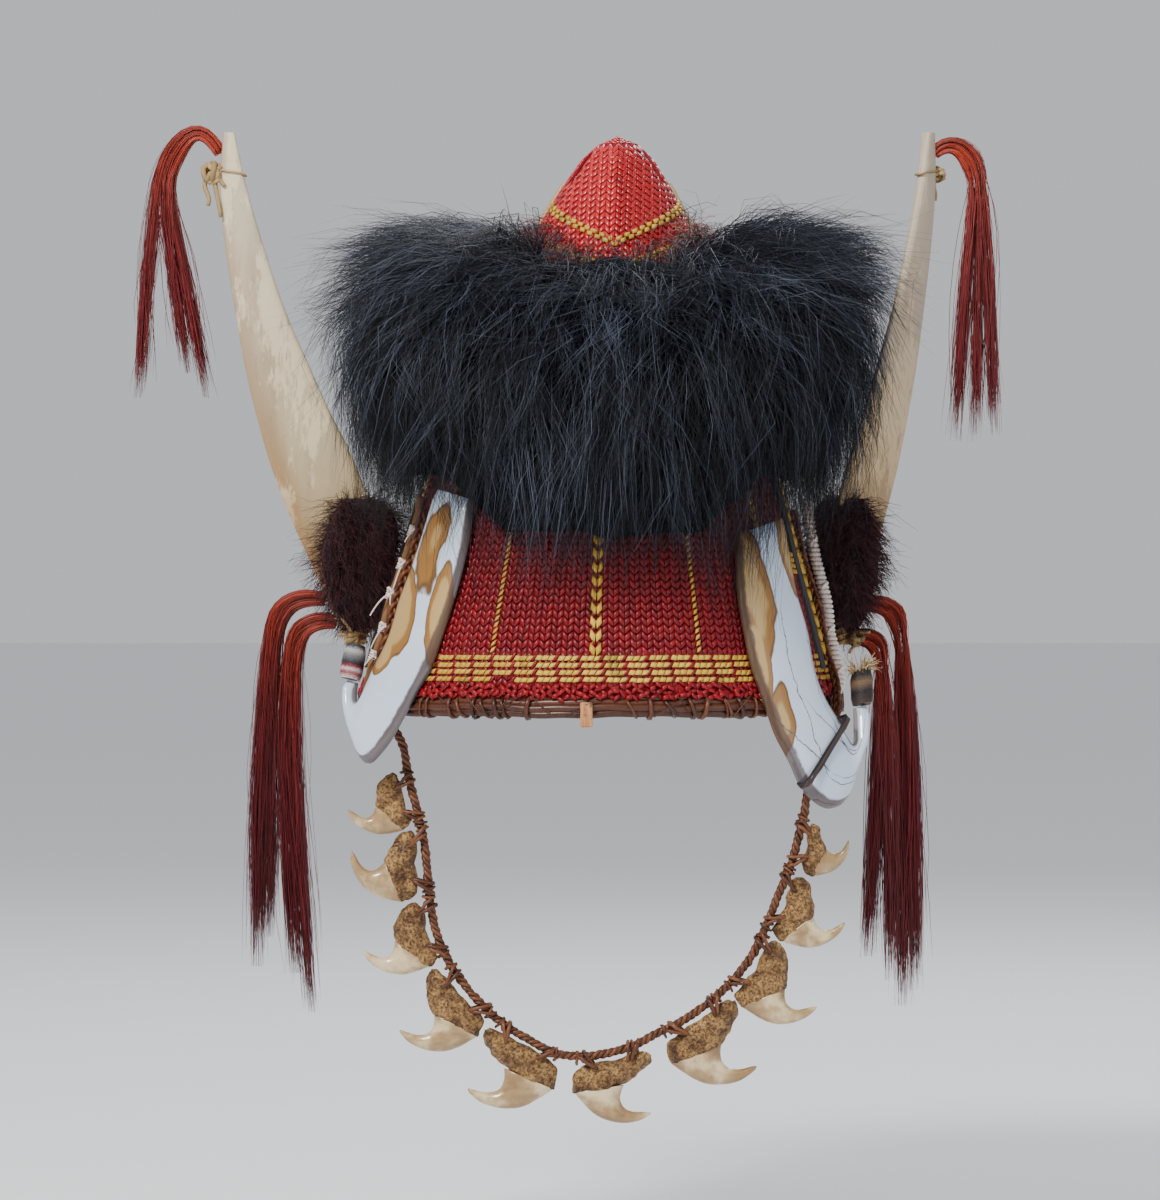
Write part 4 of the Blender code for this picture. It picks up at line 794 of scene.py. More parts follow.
def fur_hairs(settings, random, low, high):
    """Tufts of long hair rooted in a band of the cap between two angles, arcing out and down."""
    tufts = int(settings.tufts * (high - low) / TAU)
    hairs = settings.hairs
    angle = random.uniform(low, high, tufts)
    layer = random.beta(0.82, 1.08, tufts)
    tip_place = table(FUR_LAYERS, FUR_TIPS, layer) * random.normal(1.0, (0.055, 0.03), (tufts, 2))
    bend_place = table(FUR_LAYERS, FUR_BENDS, layer)
    swirl = random.normal(0, 0.27, tufts) + 0.05 * np.sin(angle * 9 + layer * 7)
    child = lambda values: np.repeat(values, hairs, axis=0)
    count = tufts * hairs
    wild = random.random(count) < WILD_SHARE
    loose = np.where(wild, 1.15, 0.42)
    root_angle = child(angle) + random.normal(0, 0.040, count)
    fold = fold_share(root_angle)
    root_rise = np.clip(child(layer) * 0.8 + 0.2 * random.random(count), 0, 1)
    root_height = HAIR_ROOT + 0.050 * root_rise - 0.022 * fold
    tip_angle = child(angle + swirl) + random.normal(0, 0.045, count) * loose
    reach = random.uniform(0.80, 1.0, count) * np.where(wild, 1.04, 1.0)
    out = child(tip_place[:, 0]) * (1 + random.normal(0, 0.055, count) * loose)
    out = out * (1 + 0.05 * child(np.interp(layer, (0.4, 0.8), (0, 1))) * random.random(count))
    out = out * np.where(random.random(count) < STRAY_SHARE, random.uniform(*STRAY_OUT, count), 1)
    out = np.minimum(out, OUT_LIMIT)
    sag = np.exp(-(((np.abs(tip_angle) - SAG_ANGLE) / SAG_SPREAD) ** 2))
    sag = sag * child(np.interp(layer, SAG_LAYERS, SAG_DROPS))
    down = child(tip_place[:, 1]) + random.normal(0, 0.05, count) * loose + sag
    down = np.clip(down + fold * 0.24 * np.clip(1 - down, 0, 1), -0.10, 1.40)
    bend_out = child(bend_place[:, 0]) * random.normal(1, 0.05, count)
    bend_down = child(bend_place[:, 1]) + random.normal(0, 0.035, count) + 0.17 * fold
    root = cap_surface(root_angle, root_height, 0.0004)
    tip = ruff_surface(tip_angle, out, down)
    bend_angle = root_angle * 0.5 + tip_angle * 0.5 + random.normal(0, 0.05, count)
    bend = ruff_surface(bend_angle, bend_out, bend_down)
    t = (np.linspace(0, 1, len(HAIR_TAPER))[None, :] * reach[:, None])[..., None]
    paths = root[:, None] * (1 - t) ** 2 + 2 * bend[:, None] * t * (1 - t) + tip[:, None] * t**2
    phase = child(random.uniform(0, TAU, (tufts, 1, 3)))
    pace = child(random.uniform(0.7, 2.0, (tufts, 1, 1)))
    wave = np.sin(t * TAU * pace + phase) * child(random.normal(0, 0.0058, (tufts, 1, 3)))
    paths = paths + wave * t + random.normal(0, 0.0013, paths.shape) * t
    paths[..., 1] = np.clip(paths[..., 1], RUFF_FRONT_LIMIT, RUFF_BACK_LIMIT)
    radii = settings.thickness * random.uniform(0.55, 1.25, (count, 1))
    points, faces, strand, along = sweep(paths, radii * HAIR_TAPER)
    # The tone is painted light: upper layers, more tufts near the front and some lone hairs take the lit
    # colour, and the lowest layers stay in painted shade
    ahead = np.exp(-((angle / 0.7) ** 2)) if low < 0 < high else np.full(tufts, 0.2)
    wisp = (random.random(tufts) < 0.08 + 0.22 * ahead) * random.uniform(0.25, 0.9, tufts)
    wisp = wisp * np.interp(layer, (0, 0.12, 0.75, 1), (0.15, 1, 1, 0.5))
    base = np.interp(layer, (0, 0.2, 0.5, 1), (0.0, 0.015, 0.05, 0.14)) * random.uniform(0.2, 1.8, tufts)
    lone = (random.random(count) < 0.10) * random.uniform(0.2, 0.9, count)
    lone = lone * child(np.interp(layer, (0, 0.2, 1), (0.1, 1, 1)))
    tone = np.clip(child(base + wisp) * random.uniform(0.3, 1.3, count) + lone, 0, 1)
    return points, faces, {"tone": tone[strand], "along": along}


def fur_body():
    """The dark mass of underfur that the long hair hides."""
    count = 96
    angles = np.linspace(0, TAU, count + 1)[:-1]
    out = np.array([0.04, 0.10, 0.26, 0.44, 0.56, 0.60, 0.54, 0.38, 0.20, 0.07, 0.04])
    down = np.array([0.42, 0.18, 0.16, 0.22, 0.32, 0.48, 0.70, 0.88, 0.97, 0.90, 0.60])
    rows = [ruff_surface(angles, np.full(count, o), np.full(count, d)) for o, d in zip(out, down)]
    rings = np.stack(rows, axis=1)
    wobble = np.array([noise.noise(Vector(p) * 60) for p in rings.reshape(-1, 3)]).reshape(rings.shape[:2])
    rings[..., 2] += wobble * 0.004
    return ring_shell(rings)


def ring_shell(rings):
    """A shell closed both round the cap and along its section."""
    steps, sides = rings.shape[:2]
    index = np.arange(steps * sides).reshape(steps, sides)
    after = np.roll(index, -1, axis=1)
    walls = np.stack([index, after, np.roll(after, -1, 0), np.roll(index, -1, 0)], axis=-1)
    return rings.reshape(-1, 3), [walls.reshape(-1, 4)[:, ::-1]], {}


FUZZ_HAIRS = 3000
FUZZ_HEIGHT = 0.211
FUZZ_STOPS = [
    (0.0, (0.012, 0.008, 0.012)), (0.38, (0.035, 0.022, 0.028)), (0.52, (0.30, 0.012, 0.025)),
    (0.72, (0.26, 0.10, 0.10)), (0.86, (0.34, 0.24, 0.15)), (1.0, (0.06, 0.05, 0.07)),
]
RUFF_PARTS = ("front", "front_right", "back_right", "back", "back_left", "front_left")


def root_fuzz(random):
    """Short hairs where the ruff meets the crown."""
    angle = random.uniform(0, TAU, FUZZ_HAIRS)
    height = FUZZ_HEIGHT - 0.014 * fold_share(angle) + random.normal(0, 0.0045, FUZZ_HAIRS)
    spots = cap_surface(angle, height, 0.0012)
    away = unit(np.stack([np.sin(angle), -np.cos(angle), 0.25 + 0 * angle], -1))
    return short_fur(spots, away, random.uniform(0.010, 0.021, (FUZZ_HAIRS, 1)), random, 0.30, 0.00019, 5)


class HEADDRESS_OT_ruff(bpy.types.Operator):
    """Grow the ruff of black fur"""

    bl_idname = "headdress.ruff"
    bl_label = "Ruff"

    def execute(self, context):
        settings = settings_of(context).fur
        random = np.random.default_rng(23)
        # The underfur is coloured as fur in the shade: the fur's own black deepened as painted shade, with
        # faint streaks of the lit colour
        dark = Finish("black_fur_under", Specular_IOR_Level=0.03)
        streak = dark.noise(330, 5, 0.7, (1, 1, 0.25))
        shade = dark.mix(streak, tuple(settings.dark), dimmed(settings.light, 0.03))
        dark.bump(streak, 1.0, 0.004)
        dark.paint(shade, 0.6 + 0.2 * streak)
        hair = strand_finish("black_fur_hair", settings.dark, settings.light, 0.38, 700)
        mesh_piece("ruff_body", fur_body(), dark.material, ["fur_ruff"])
        half = TAU / len(RUFF_PARTS) / 2
        for number, name in enumerate(RUFF_PARTS):
            middle = number * TAU / len(RUFF_PARTS)
            made = fur_hairs(settings, random, middle - half, middle + half)
            mesh_piece(f"ruff_hair_{name}", made, hair)
        fuzz = Finish("speckled_fuzz", Roughness=0.55)
        shade = fuzz.add("ShaderNodeValToRGB", {"stops": FUZZ_STOPS}, {"Fac": fuzz.attribute("tone")})
        grain = fuzz.noise(700)
        fuzz.bump(grain, 0.2, 0.0002)
        fuzz.paint(shade, 0.45 + 0.2 * grain)
        mesh_piece("ruff_root_fuzz", root_fuzz(random), fuzz.material)
        return {"FINISHED"}


# Horns

HORN_RISES = (0.0, 0.048, 0.145, 0.243, 0.340, 0.466, 0.559, 0.649, 0.767, 0.864, 0.927, 1.0)
HORN_OUTS = (0.0, 0.031, 0.108, 0.200, 0.332, 0.523, 0.646, 0.754, 0.870, 0.947, 0.98, 1.0)
HORN_WIDTHS = (0.15, 0.41, 0.70, 0.95, 1.0, 0.856, 0.732, 0.593, 0.464, 0.35, 0.26, 0.14)
HORN_HEIGHT = 0.2317
HORN_HALF_WIDTH = 0.0194
HORN_HALF_THICKNESS = 0.0022
HORNS = {"left": (-1, 0.0585, 0.0), "right": (1, 0.039, math.radians(52))}
HORN_SECTION = np.array([
    (1.0, 0.25), (0.96, 0.62), (0.86, 0.88), (0.74, 1.0), (0.35, 1.04), (-0.35, 1.04), (-0.74, 1.0),
    (-0.86, 0.88), (-0.96, 0.62), (-1.0, 0.25), (-1.0, -0.25), (-0.96, -0.62), (-0.86, -0.88), (-0.74, -1.0),
    (-0.35, -1.04), (0.35, -1.04), (0.74, -1.0), (0.86, -0.88), (0.96, -0.62), (1.0, -0.25),
])


def horn_ways(side):
    """A horn's foot, and the ways across it to its outer edge and through it to its front."""
    sign, _, twist = HORNS[side]
    points = np.array([v.co for v in frame["nodes"][f"horn_{side}"].data.vertices])
    foot = points[points[:, 2] < points[:, 2].min() + 1e-4].mean(axis=0)
    across = np.array([sign * math.cos(twist), math.sin(twist), 0])
    front = np.array([sign * math.sin(twist), -math.cos(twist), 0])
    return foot, across, front


def horn_spots(side, rise, across, through):
    """Points of a horn, by shares of its height and half-width and metres off its middle."""
    sign, spread, _ = HORNS[side]
    foot, way, front = horn_ways(side)
    rise, across, through = np.broadcast_arrays(rise, across, through)
    out = table(HORN_RISES, HORN_OUTS, rise) * spread * sign
    width = table(HORN_RISES, HORN_WIDTHS, rise) * HORN_HALF_WIDTH
    middle = np.stack([out, 0 * out, rise * HORN_HEIGHT], axis=-1) + foot
    return middle + way * (across * width)[..., None] + front * through[..., None]


def horn_piece(side, finish):
    rises = np.concatenate([np.linspace(0, 0.97, 70), [0.985, 0.995, 1.0]])
    across, through = HORN_SECTION.T
    rings = horn_spots(side, rises[:, None], across[None], through[None] * HORN_HALF_THICKNESS)
    shape = rings.shape[:2]
    values = {
        "across": np.broadcast_to(across, shape), "rise": np.broadcast_to(rises[:, None], shape),
    }
    made = *skin(rings, side == "left"), values
    return mesh_piece(f"horn_plate_{side}", made, finish, [f"horn_{side}"], 38)


def horn_finish(name, base, ochre, stained):
    finish = Finish(name, Coat_Weight=0.25, Coat_Roughness=0.18)
    across = finish.attribute("across")
    rise = finish.attribute("rise")
    streak = finish.noise(70, 6, 0.6, (1, 1, 0.10))
    cloud = finish.noise(34, 4, 0.55, (1, 1, 0.45))
    edge = (across + (cloud - 0.5) * 0.9).above(0.62, 0.38)
    stain = finish.maths("MAXIMUM", edge * stained, (cloud + streak * 0.5).above(0.86, 0.12) * 0.5)
    shade = finish.mix(streak.above(0.5, 0.2), base, dimmed(base, 0.72))
    shade = finish.mix(stain * (1.15 - rise * 0.5), shade, ochre)
    dirt = finish.noise(420, 5, 0.7, (1, 1, 0.2)).above(0.64, 0.06)
    shade = finish.mix(dirt * 0.35, shade, dimmed(ochre, 0.45))
    flake = finish.noise(38, 6, 0.72, (1, 1, 0.28)).above(0.55, 0.025)
    pale = tuple(min(1.35 * part + 0.06, 0.9) for part in base)
    shade = finish.mix(flake * rise.above(0.22, 0.15) * 0.75, shade, pale)
    shade = finish.mix(rise.above(0.50, 0.35) * (0.55 * max(0.0, 1.2 - stained)), shade, (0.60, 0.55, 0.49))
    low = 1 - rise.above(0.30, 0.18)
    shade = finish.mix(low * 0.5, shade, ochre)
    finish.bump(streak * 0.6 + finish.noise(900, 3) * 0.3, 0.22, 0.0008)
    return finish.paint(shade, 0.30 + 0.25 * streak)


class HEADDRESS_OT_horns(bpy.types.Operator):
    """Shape the two horn plates"""

    bl_idname = "headdress.horns"
    bl_label = "Horns"

    def execute(self, context):
        settings = settings_of(context).horn
        horn_piece("left", horn_finish("horn_left_ivory", tuple(settings.ivory), tuple(settings.ochre), 0.75))
        horn_piece("right", horn_finish("horn_right_tan", tuple(settings.tan), tuple(settings.ochre), 0.35))
        return {"FINISHED"}


# Shell plates

PLATE_ANGLE = math.radians(42)
PLATE_TILT = math.radians(15)
PLATE_CROWN = 0.006
PLATE_STEPS = 120
# Side, length, notch out and notch rise, then rows of the near and the far edge, out and up, in lengths
PLATES = {
    "left": (-1, 0.124, 0.0475, 0.0008, (
        (-0.198, 0.766, -0.382, 0.723), (-0.173, 0.610, -0.396, 0.585), (-0.151, 0.486, -0.391, 0.465),
        (-0.121, 0.370, -0.380, 0.370), (-0.096, 0.215, -0.353, 0.222), (-0.048, 0.098, -0.327, 0.113),
        (-0.020, 0.015, -0.281, 0.026), (-0.010, -0.004, -0.235, -0.077), (-0.006, -0.009, -0.185, -0.167),
        (-0.001, -0.011, -0.106, -0.232), (0.003, -0.010, -0.007, -0.131), (0.007, -0.005, 0.049, -0.032),
        (0.015, 0.022, 0.062, 0.026), (0.019, 0.058, 0.062, 0.065),
    )),
    "right": (1, 0.130, 0.0476, -0.0186, (
        (-0.132, 0.777, -0.368, 0.715), (-0.138, 0.620, -0.397, 0.582), (-0.135, 0.502, -0.412, 0.469),
        (-0.120, 0.382, -0.412, 0.354), (-0.121, 0.254, -0.405, 0.249), (-0.100, 0.159, -0.380, 0.142),
        (-0.058, 0.080, -0.357, 0.031), (-0.037, 0.032, -0.315, -0.062), (-0.020, 0.002, -0.285, -0.142),
        (-0.015, -0.005, -0.235, -0.198), (-0.010, -0.009, -0.174, -0.225), (-0.005, -0.010, -0.102, -0.206),
        (0.000, -0.009, -0.047, -0.142), (0.005, -0.005, 0.012, -0.062), (0.010, 0.006, 0.058, 0.000),
        (0.024, 0.062, 0.082, 0.064), (0.038, 0.115, 0.090, 0.123),
    )),
}
# A plate's section from its near edge to its far edge: share across and share of the crown
PLATE_SECTION = np.array([
    (0.0, 0.06), (0.0, 0.30), (0.03, 0.46), (0.08, 0.60), (0.15, 0.74), (0.24, 0.86), (0.36, 0.95),
    (0.5, 0.99), (0.64, 0.95), (0.76, 0.86), (0.85, 0.74), (0.92, 0.60), (0.97, 0.46), (1.0, 0.30),
    (1.0, 0.06), (0.97, 0.0), (0.8, 0.0), (0.5, 0.0), (0.2, 0.0), (0.03, 0.0),
])


def plate_spots(side, out, up, front):
    """Points of a plate by metres outward and upward from its notch and off its back face."""
    sign, size, notch_out, notch_rise, rows = PLATES[side]
    angle = sign * PLATE_ANGLE
    outward = np.array([sign * math.cos(PLATE_ANGLE), math.sin(PLATE_ANGLE), 0])
    forward = np.array([math.sin(angle), -math.cos(angle), 0]) * math.cos(PLATE_TILT)
    forward += (0, 0, math.sin(PLATE_TILT))
    upward = np.cross(forward, outward)
    upward *= np.sign(upward[2])
    wide = RIM_HALF_WIDTH - CAP_WALL / 2 + HOOP_THICKNESS / 2
    deep = RIM_HALF_DEPTH - CAP_WALL / 2 + HOOP_THICKNESS / 2
    support = math.hypot(wide * math.sin(PLATE_ANGLE), deep * math.cos(PLATE_ANGLE))
    touch = (
        wide**2 * math.sin(angle) / support, -(deep**2) * math.cos(angle) / support, HOOP_HEIGHT - HOOP_EDGE,
    )
    level = -notch_rise / size
    row = min((row for row in rows if row[2] < row[0]), key=lambda row: abs(row[3] - level))
    edge_out = max(notch_out + row[2] * size, 0)
    seat = 0.0003 - edge_out**2 * support**3 / (2 * (wide * deep) ** 2) * math.cos(PLATE_TILT)
    notch = touch + forward * seat + outward * notch_out + upward * notch_rise
    spread = lambda way, values: way * np.asarray(values)[..., None]
    return notch + spread(outward, out) + spread(upward, up) + spread(forward, front)


def plate_piece(side, finish):
    sign, size, _, _, rows = PLATES[side]
    rows = np.array(rows)
    middles = (rows[:, :2] + rows[:, 2:]) / 2
    steps = np.concatenate([[0], np.cumsum(np.linalg.norm(np.diff(middles, axis=0), axis=1) + 0.03)])
    smooth = table(steps, rows, np.linspace(0, steps[-1], PLATE_STEPS))
    across, through = PLATE_SECTION.T
    out = (smooth[:, :1] + across * (smooth[:, 2:3] - smooth[:, :1])) * size
    up = (smooth[:, 1:2] + across * (smooth[:, 3:] - smooth[:, 1:2])) * size
    ends = np.sin(np.clip(np.linspace(0, 1, PLATE_STEPS) * 24, 0, 1) * math.pi / 2)
    ends = np.minimum(ends, ends[::-1]) * 0.45 + 0.55
    rings = plate_spots(side, out, up, through * PLATE_CROWN * ends[:, None])
    values = {
        "plate_out": out / size, "plate_up": up / size, "plate_across": np.broadcast_to(across, out.shape),
    }
    made = *skin(rings, sign > 0), values
    return mesh_piece(f"plate_{side}", made, finish, [f"shell_plate_{side}"], 50)


def plate_finish(name, settings, patches, cracks):
    """Polished shell: bluish white, with ochre patches, paler in the middle, and dark growth lines."""
    white, ochre = tuple(settings.white), tuple(settings.ochre)
    finish = Finish(name, Coat_Weight=0.4, Coat_Roughness=0.06)
    out = finish.attribute("plate_out")
    up = finish.attribute("plate_up")
    across = finish.attribute("plate_across")
    cloud = finish.noise(42, 5, 0.6)
    fine = finish.noise(220, 4, 0.6)
    near = None
    for middle_out, middle_up, wide, tall in patches:
        x = (out - middle_out) / wide
        y = (up - middle_up) / tall
        far = finish.maths("SQRT", x * x + y * y)
        near = far if near is None else finish.maths("MINIMUM", near, far)
    near = near + (finish.noise(26, 3, 0.5, (1, 1, 0.7)) - 0.5) * 3.4 + (fine - 0.5) * 0.16
    stain = 1 - near.above(1.28, 0.05)
    middle = 1 - near.above(0.80, 0.12)
    pale = tuple(part * more for part, more in zip(white, (1.1, 1.06, 1.0)))
    shade = finish.mix(cloud.above(0.55, 0.2), white, pale)
    shade = finish.mix(stain, shade, ochre)
    shade = finish.mix(middle * 0.85, shade, tuple(settings.cream))
    rim = near.above(1.18, 0.05) * stain
    shade = finish.mix(rim * 0.8, shade, dimmed(ochre, 0.3))
    for slope, offset, gap, top in cracks:
        wave = finish.maths("FRACT", (across + up * slope + (cloud - 0.5) * 0.35 + offset) / gap)
        line = 1 - finish.maths("ABSOLUTE", wave - 0.5).above(0.016, 0.012)
        fade = (1 - up.above(top, 0.06)) * (cloud + fine * 0.5).above(0.66, 0.10)
        shade = finish.mix(line * fade * 0.9, shade, (0.06, 0.04, 0.05))
    edge = across + (fine - 0.5) * 0.05 + (cloud - 0.5) * 0.08
    far_edge = (edge - up.above(0.2, 0.2) * 0.03).above(0.90, 0.02)
    shade = finish.mix(far_edge * 0.9, shade, (0.045, 0.016, 0.006))
    shade = finish.mix((1 - edge).above(0.945, 0.03) * 0.7, shade, (0.09, 0.04, 0.014))
    finish.bump(cloud * 0.8 + fine * 0.1, 0.12, 0.001)
    return finish.paint(shade, 0.16 + stain * 0.22 + fine * 0.1)


# Patches: middle out and up, then half-width and half-height, in lengths of the plate
LEFT_PATCHES = (
    (-0.27, 0.60, 0.075, 0.17), (-0.16, 0.32, 0.055, 0.12), (-0.35, 0.36, 0.035, 0.20),
    (-0.11, 0.17, 0.04, 0.05),
)
RIGHT_PATCHES = (
    (-0.36, 0.56, 0.060, 0.24), (-0.39, 0.28, 0.040, 0.18), (-0.33, 0.06, 0.040, 0.12),
    (-0.16, 0.66, 0.04, 0.14),
)
# Growth lines: slope, offset, gap and where they fade out
RIGHT_CRACKS = ((0.35, 0.05, 0.44, 0.45), (-1.9, 0.1, 0.60, 0.12))


class HEADDRESS_OT_plates(bpy.types.Operator):
    """Shape the two shell plates"""

    bl_idname = "headdress.plates"
    bl_label = "Plates"

    def execute(self, context):
        settings = settings_of(context).plate
        plate_piece("left", plate_finish("shell_left", settings, LEFT_PATCHES, ()))
        plate_piece("right", plate_finish("shell_right", settings, RIGHT_PATCHES, RIGHT_CRACKS))
        return {"FINISHED"}


# Tassels

# A tassel's trunk: how far out, down and up it runs, then its locks' stations down and their sizes
TRUNK = np.array([
    (0, 0, 0), (0.10, 0, 0.55), (0.27, 0.01, 1), (0.48, 0.04, 0.92), (0.66, 0.14, 0.45), (0.80, 0.36, 0.1),
])
TRUNK_WIDTHS = np.array([0.0054, 0.0068, 0.0082, 0.0093, 0.0100, 0.0100])
TASSEL_THICKNESS = 0.006
LOCK_DOWNS = np.array([0.16, 0.28, 0.42, 0.56, 0.70, 0.85, 1.0])
LOCK_SIZES = np.array([0.95, 1.0, 1.0, 0.95, 0.85, 0.75, 0.6])
# Horn, rise, arc, lift, length and drift, then each lock's share out half-way and at its end, and its drop
TASSELS = {
    "tip_tassel_left": (
        "left", 0.96, 0.032, 0.011, 0.108, -0.004, ((1.03, 1.13, 1), (0.72, 0.45, 0.9), (0.52, 0.17, 1)),
    ),
    "tip_tassel_right": (
        "right", 0.96, 0.025, 0.005, 0.127, -0.004, ((1, 1.08, 0.98), (0.8, 0.75, 1), (0.55, 0.38, 1)),
    ),
    "side_tassel_left_upper": (
        "left", 0.087, 0.030, 0.0015, 0.162, 0.006, ((1, 1.07, 1), (0.83, 0.87, 0.92)),
    ),
    "side_tassel_left_lower": (
        "left", 0.042, 0.025, 0.0015, 0.171, -0.006, ((0.97, 0.75, 0.9), (0.76, 0.45, 1)),
    ),
    "side_tassel_right_upper": (
        "right", 0.077, 0.023, 0.001, 0.178, 0.006, ((1.06, 1.1, 0.96), (0.85, 0.86, 1)),
    ),
    "side_tassel_right_lower": (
        "right", 0.014, 0.0182, 0.0005, 0.151, -0.006, ((0.97, 1, 1), (0.71, 0.42, 0.93)),
    ),
}


def tassel_hair(name, strands, random):
    horn, rise, arc, lift, drop_length, drift, locks = TASSELS[name]
    sign = HORNS[horn][0]
    root = horn_spots(horn, rise, 1.0, 0.0) + (sign * 0.0005, 0, 0)
    lock = random.integers(0, len(locks), strands)
    mid_out, end_out, drop = np.array(locks, float)[lock].T
    far = np.sqrt(random.random(strands))
    turn = random.random(strands) * TAU
    across, through = far * np.cos(turn), far * np.sin(turn)
    step = (lock + 0.5) / len(locks) - 0.5 + across / (2 * len(locks))
    trunk_out, trunk_down, trunk_up = TRUNK.T
    middles = root + np.stack([sign * trunk_out * arc, 0 * trunk_out, trunk_up * lift - trunk_down * arc], -1)
    along = unit(np.gradient(middles, axis=0))
    down = np.stack([along[:, 2], 0 * along[:, 0], -along[:, 0]], -1)
    down *= np.where(down[:, 2:] > 0, -1, 1)
    trunk = middles + down * (TRUNK_WIDTHS * step[:, None])[..., None]
    trunk[..., 1] += through[:, None] * TASSEL_THICKNESS / 2 * np.linspace(0.6, 1, 6)
    full = np.clip(random.normal(0.90, 0.09, strands), 0.55, 1.03)[:, None]
    stray = random.random(strands) < 0.11
    downs = 0.12 + (LOCK_DOWNS - 0.12) * full
    share = lambda low, high: np.clip((downs - low) / (high - low), 0, 1)
    out = 0.82 + (mid_out - 0.82)[:, None] * share(0.05, 0.45)
    out = out + (end_out - mid_out)[:, None] * share(0.45, 1.0)
    size = LOCK_SIZES * np.where(stray, 2.2, 1.3)[:, None]
    x = root[0] + sign * out * arc + across[:, None] * 0.0115 / len(locks) / 2 * size
    y = root[1] + drift * downs + through[:, None] * TASSEL_THICKNESS / 2 * size
    z = root[2] - drop_length * drop[:, None] * downs
    paths = np.concatenate([trunk, np.stack([x, y, z], -1)], axis=1)
    stations = np.concatenate([np.arange(0, 6, 0.5), np.arange(6, 13)])
    paths = np.moveaxis(table(np.arange(13), np.moveaxis(paths, 1, 0), stations), 0, 1)
    for _ in range(4):
        paths[:, 1:-1] = (paths[:, :-2] + 2 * paths[:, 1:-1] + paths[:, 2:]) / 4
    steps = paths.shape[1]
    away = np.linspace(0, 1, steps)[None, :, None] ** 1.5
    pace = random.uniform(0.5, 1.5, (strands, 1, 1))
    curl = np.sin(away * 7 * pace + random.uniform(0, TAU, (strands, 1, 3)))
    paths = paths + curl * away * np.where(stray, 0.0042, 0.0012)[:, None, None] * (1, 0.6, 0.2)
    clump = np.sin(lock * 2.1 + np.round(turn * 1.6) * 1.7)[:, None, None] * (0.0012, 0.0006, 0)
    paths = paths + clump * away
    radii = random.uniform(0.00008, 0.00017, (strands, 1)) * np.concatenate([np.full(steps - 1, 1.0), [0.3]])
    points, faces, strand, part = sweep(paths, radii)
    tone = np.clip(random.beta(2, 2, strands) + 0.2 * np.sin(turn * 3), 0, 1)
    return points, faces, {"tone": tone[strand], "along": part}


class HEADDRESS_OT_tassels(bpy.types.Operator):
    """Hang the six tassels of red hair"""

    bl_idname = "headdress.tassels"
    bl_label = "Tassels"

    def execute(self, context):
        settings = settings_of(context).hair
        random = np.random.default_rng(37)
        for place, low in (("tip", (0.25, 0.020, 0.022)), ("side", tuple(settings.maroon))):
            finish = Finish(f"red_hair_{place}", Roughness=0.36)
            tone = finish.attribute("tone")
            down = finish.attribute("along")
            # Orange where a tassel arcs over and maroon further down: partly the hair's own colour, partly a
            # painted highlight on the top of the arc
            shade = finish.mix(down.above(0.58, 0.30), settings.orange, low)
            shade = finish.mix(tone, dimmed(low, 0.30), shade)
            grain = finish.noise(600)
            finish.bump(grain, 0.2, 0.0002)
            finish.paint(shade, 0.28 + 0.25 * grain)
            for name in TASSELS:
                if name.startswith(place):
                    made = tassel_hair(name, settings.strands, random)
                    mesh_piece(f"{name}_hair", made, finish.material, [name])
        return {"FINISHED"}


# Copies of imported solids, refined

ROUNDING_LEVELS = 2
SHARP_EDGE = math.radians(50)


def refined(node, name, material, crease, rough, scale, shift=(0, 0, 0)):
    """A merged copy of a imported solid, rounded by subdivision and roughened along its normals."""
    mesh = frame["nodes"][node].data.copy()
    piece = bpy.data.objects.new(name, mesh)
    bpy.context.scene.collection.objects.link(piece)
    bpy.ops.object.select_all(action="DESELECT")
    piece.select_set(True)
    bpy.context.view_layer.objects.active = piece
    bpy.ops.object.mode_set(mode="EDIT")
    bpy.ops.mesh.select_all(action="SELECT")
    bpy.ops.mesh.remove_doubles(threshold=0.00001)
    bpy.ops.transform.translate(value=tuple(shift))
    bpy.ops.mesh.dissolve_limited(angle_limit=math.radians(1))
    bpy.ops.mesh.tris_convert_to_quads(face_threshold=SHARP_EDGE, shape_threshold=SHARP_EDGE)
    bpy.ops.mesh.select_mode(type="EDGE")
    bpy.ops.mesh.select_all(action="DESELECT")
    bpy.ops.mesh.edges_select_sharp(sharpness=SHARP_EDGE)
    bpy.ops.transform.edge_crease(value=crease)
    bpy.ops.mesh.select_mode(type="VERT")
    bpy.ops.object.mode_set(mode="OBJECT")
    modifier = piece.modifiers.new("Rounding", "SUBSURF")
    modifier.levels = modifier.render_levels = ROUNDING_LEVELS
    bpy.ops.object.modifier_apply(modifier=modifier.name)
    roughen(mesh, rough, scale)
    mesh.shade_smooth()
    mesh.materials.clear()
    mesh.materials.append(material)
    return worn_by_root(piece, [node])


def roughen(mesh, reach, scale, stretch=(1, 1, 1)):
    """Moves a mesh's vertices along their normals by fine noise."""
    spots = np.empty(len(mesh.vertices) * 3, np.float32)
    ways = np.empty(len(mesh.vertices) * 3, np.float32)
    mesh.vertices.foreach_get("co", spots)
    mesh.vertex_normals.foreach_get("vector", ways)
    stretched = spots.reshape(-1, 3) * scale * np.array(stretch)
    moves = np.array([noise.fractal(Vector(spot), 1.0, 2.0, 3) for spot in stretched]) * reach
    moved = spots.reshape(-1, 3) + ways.reshape(-1, 3) * moves[:, None]
    mesh.vertices.foreach_set("co", moved.astype(np.float32).ravel())
    mesh.update()


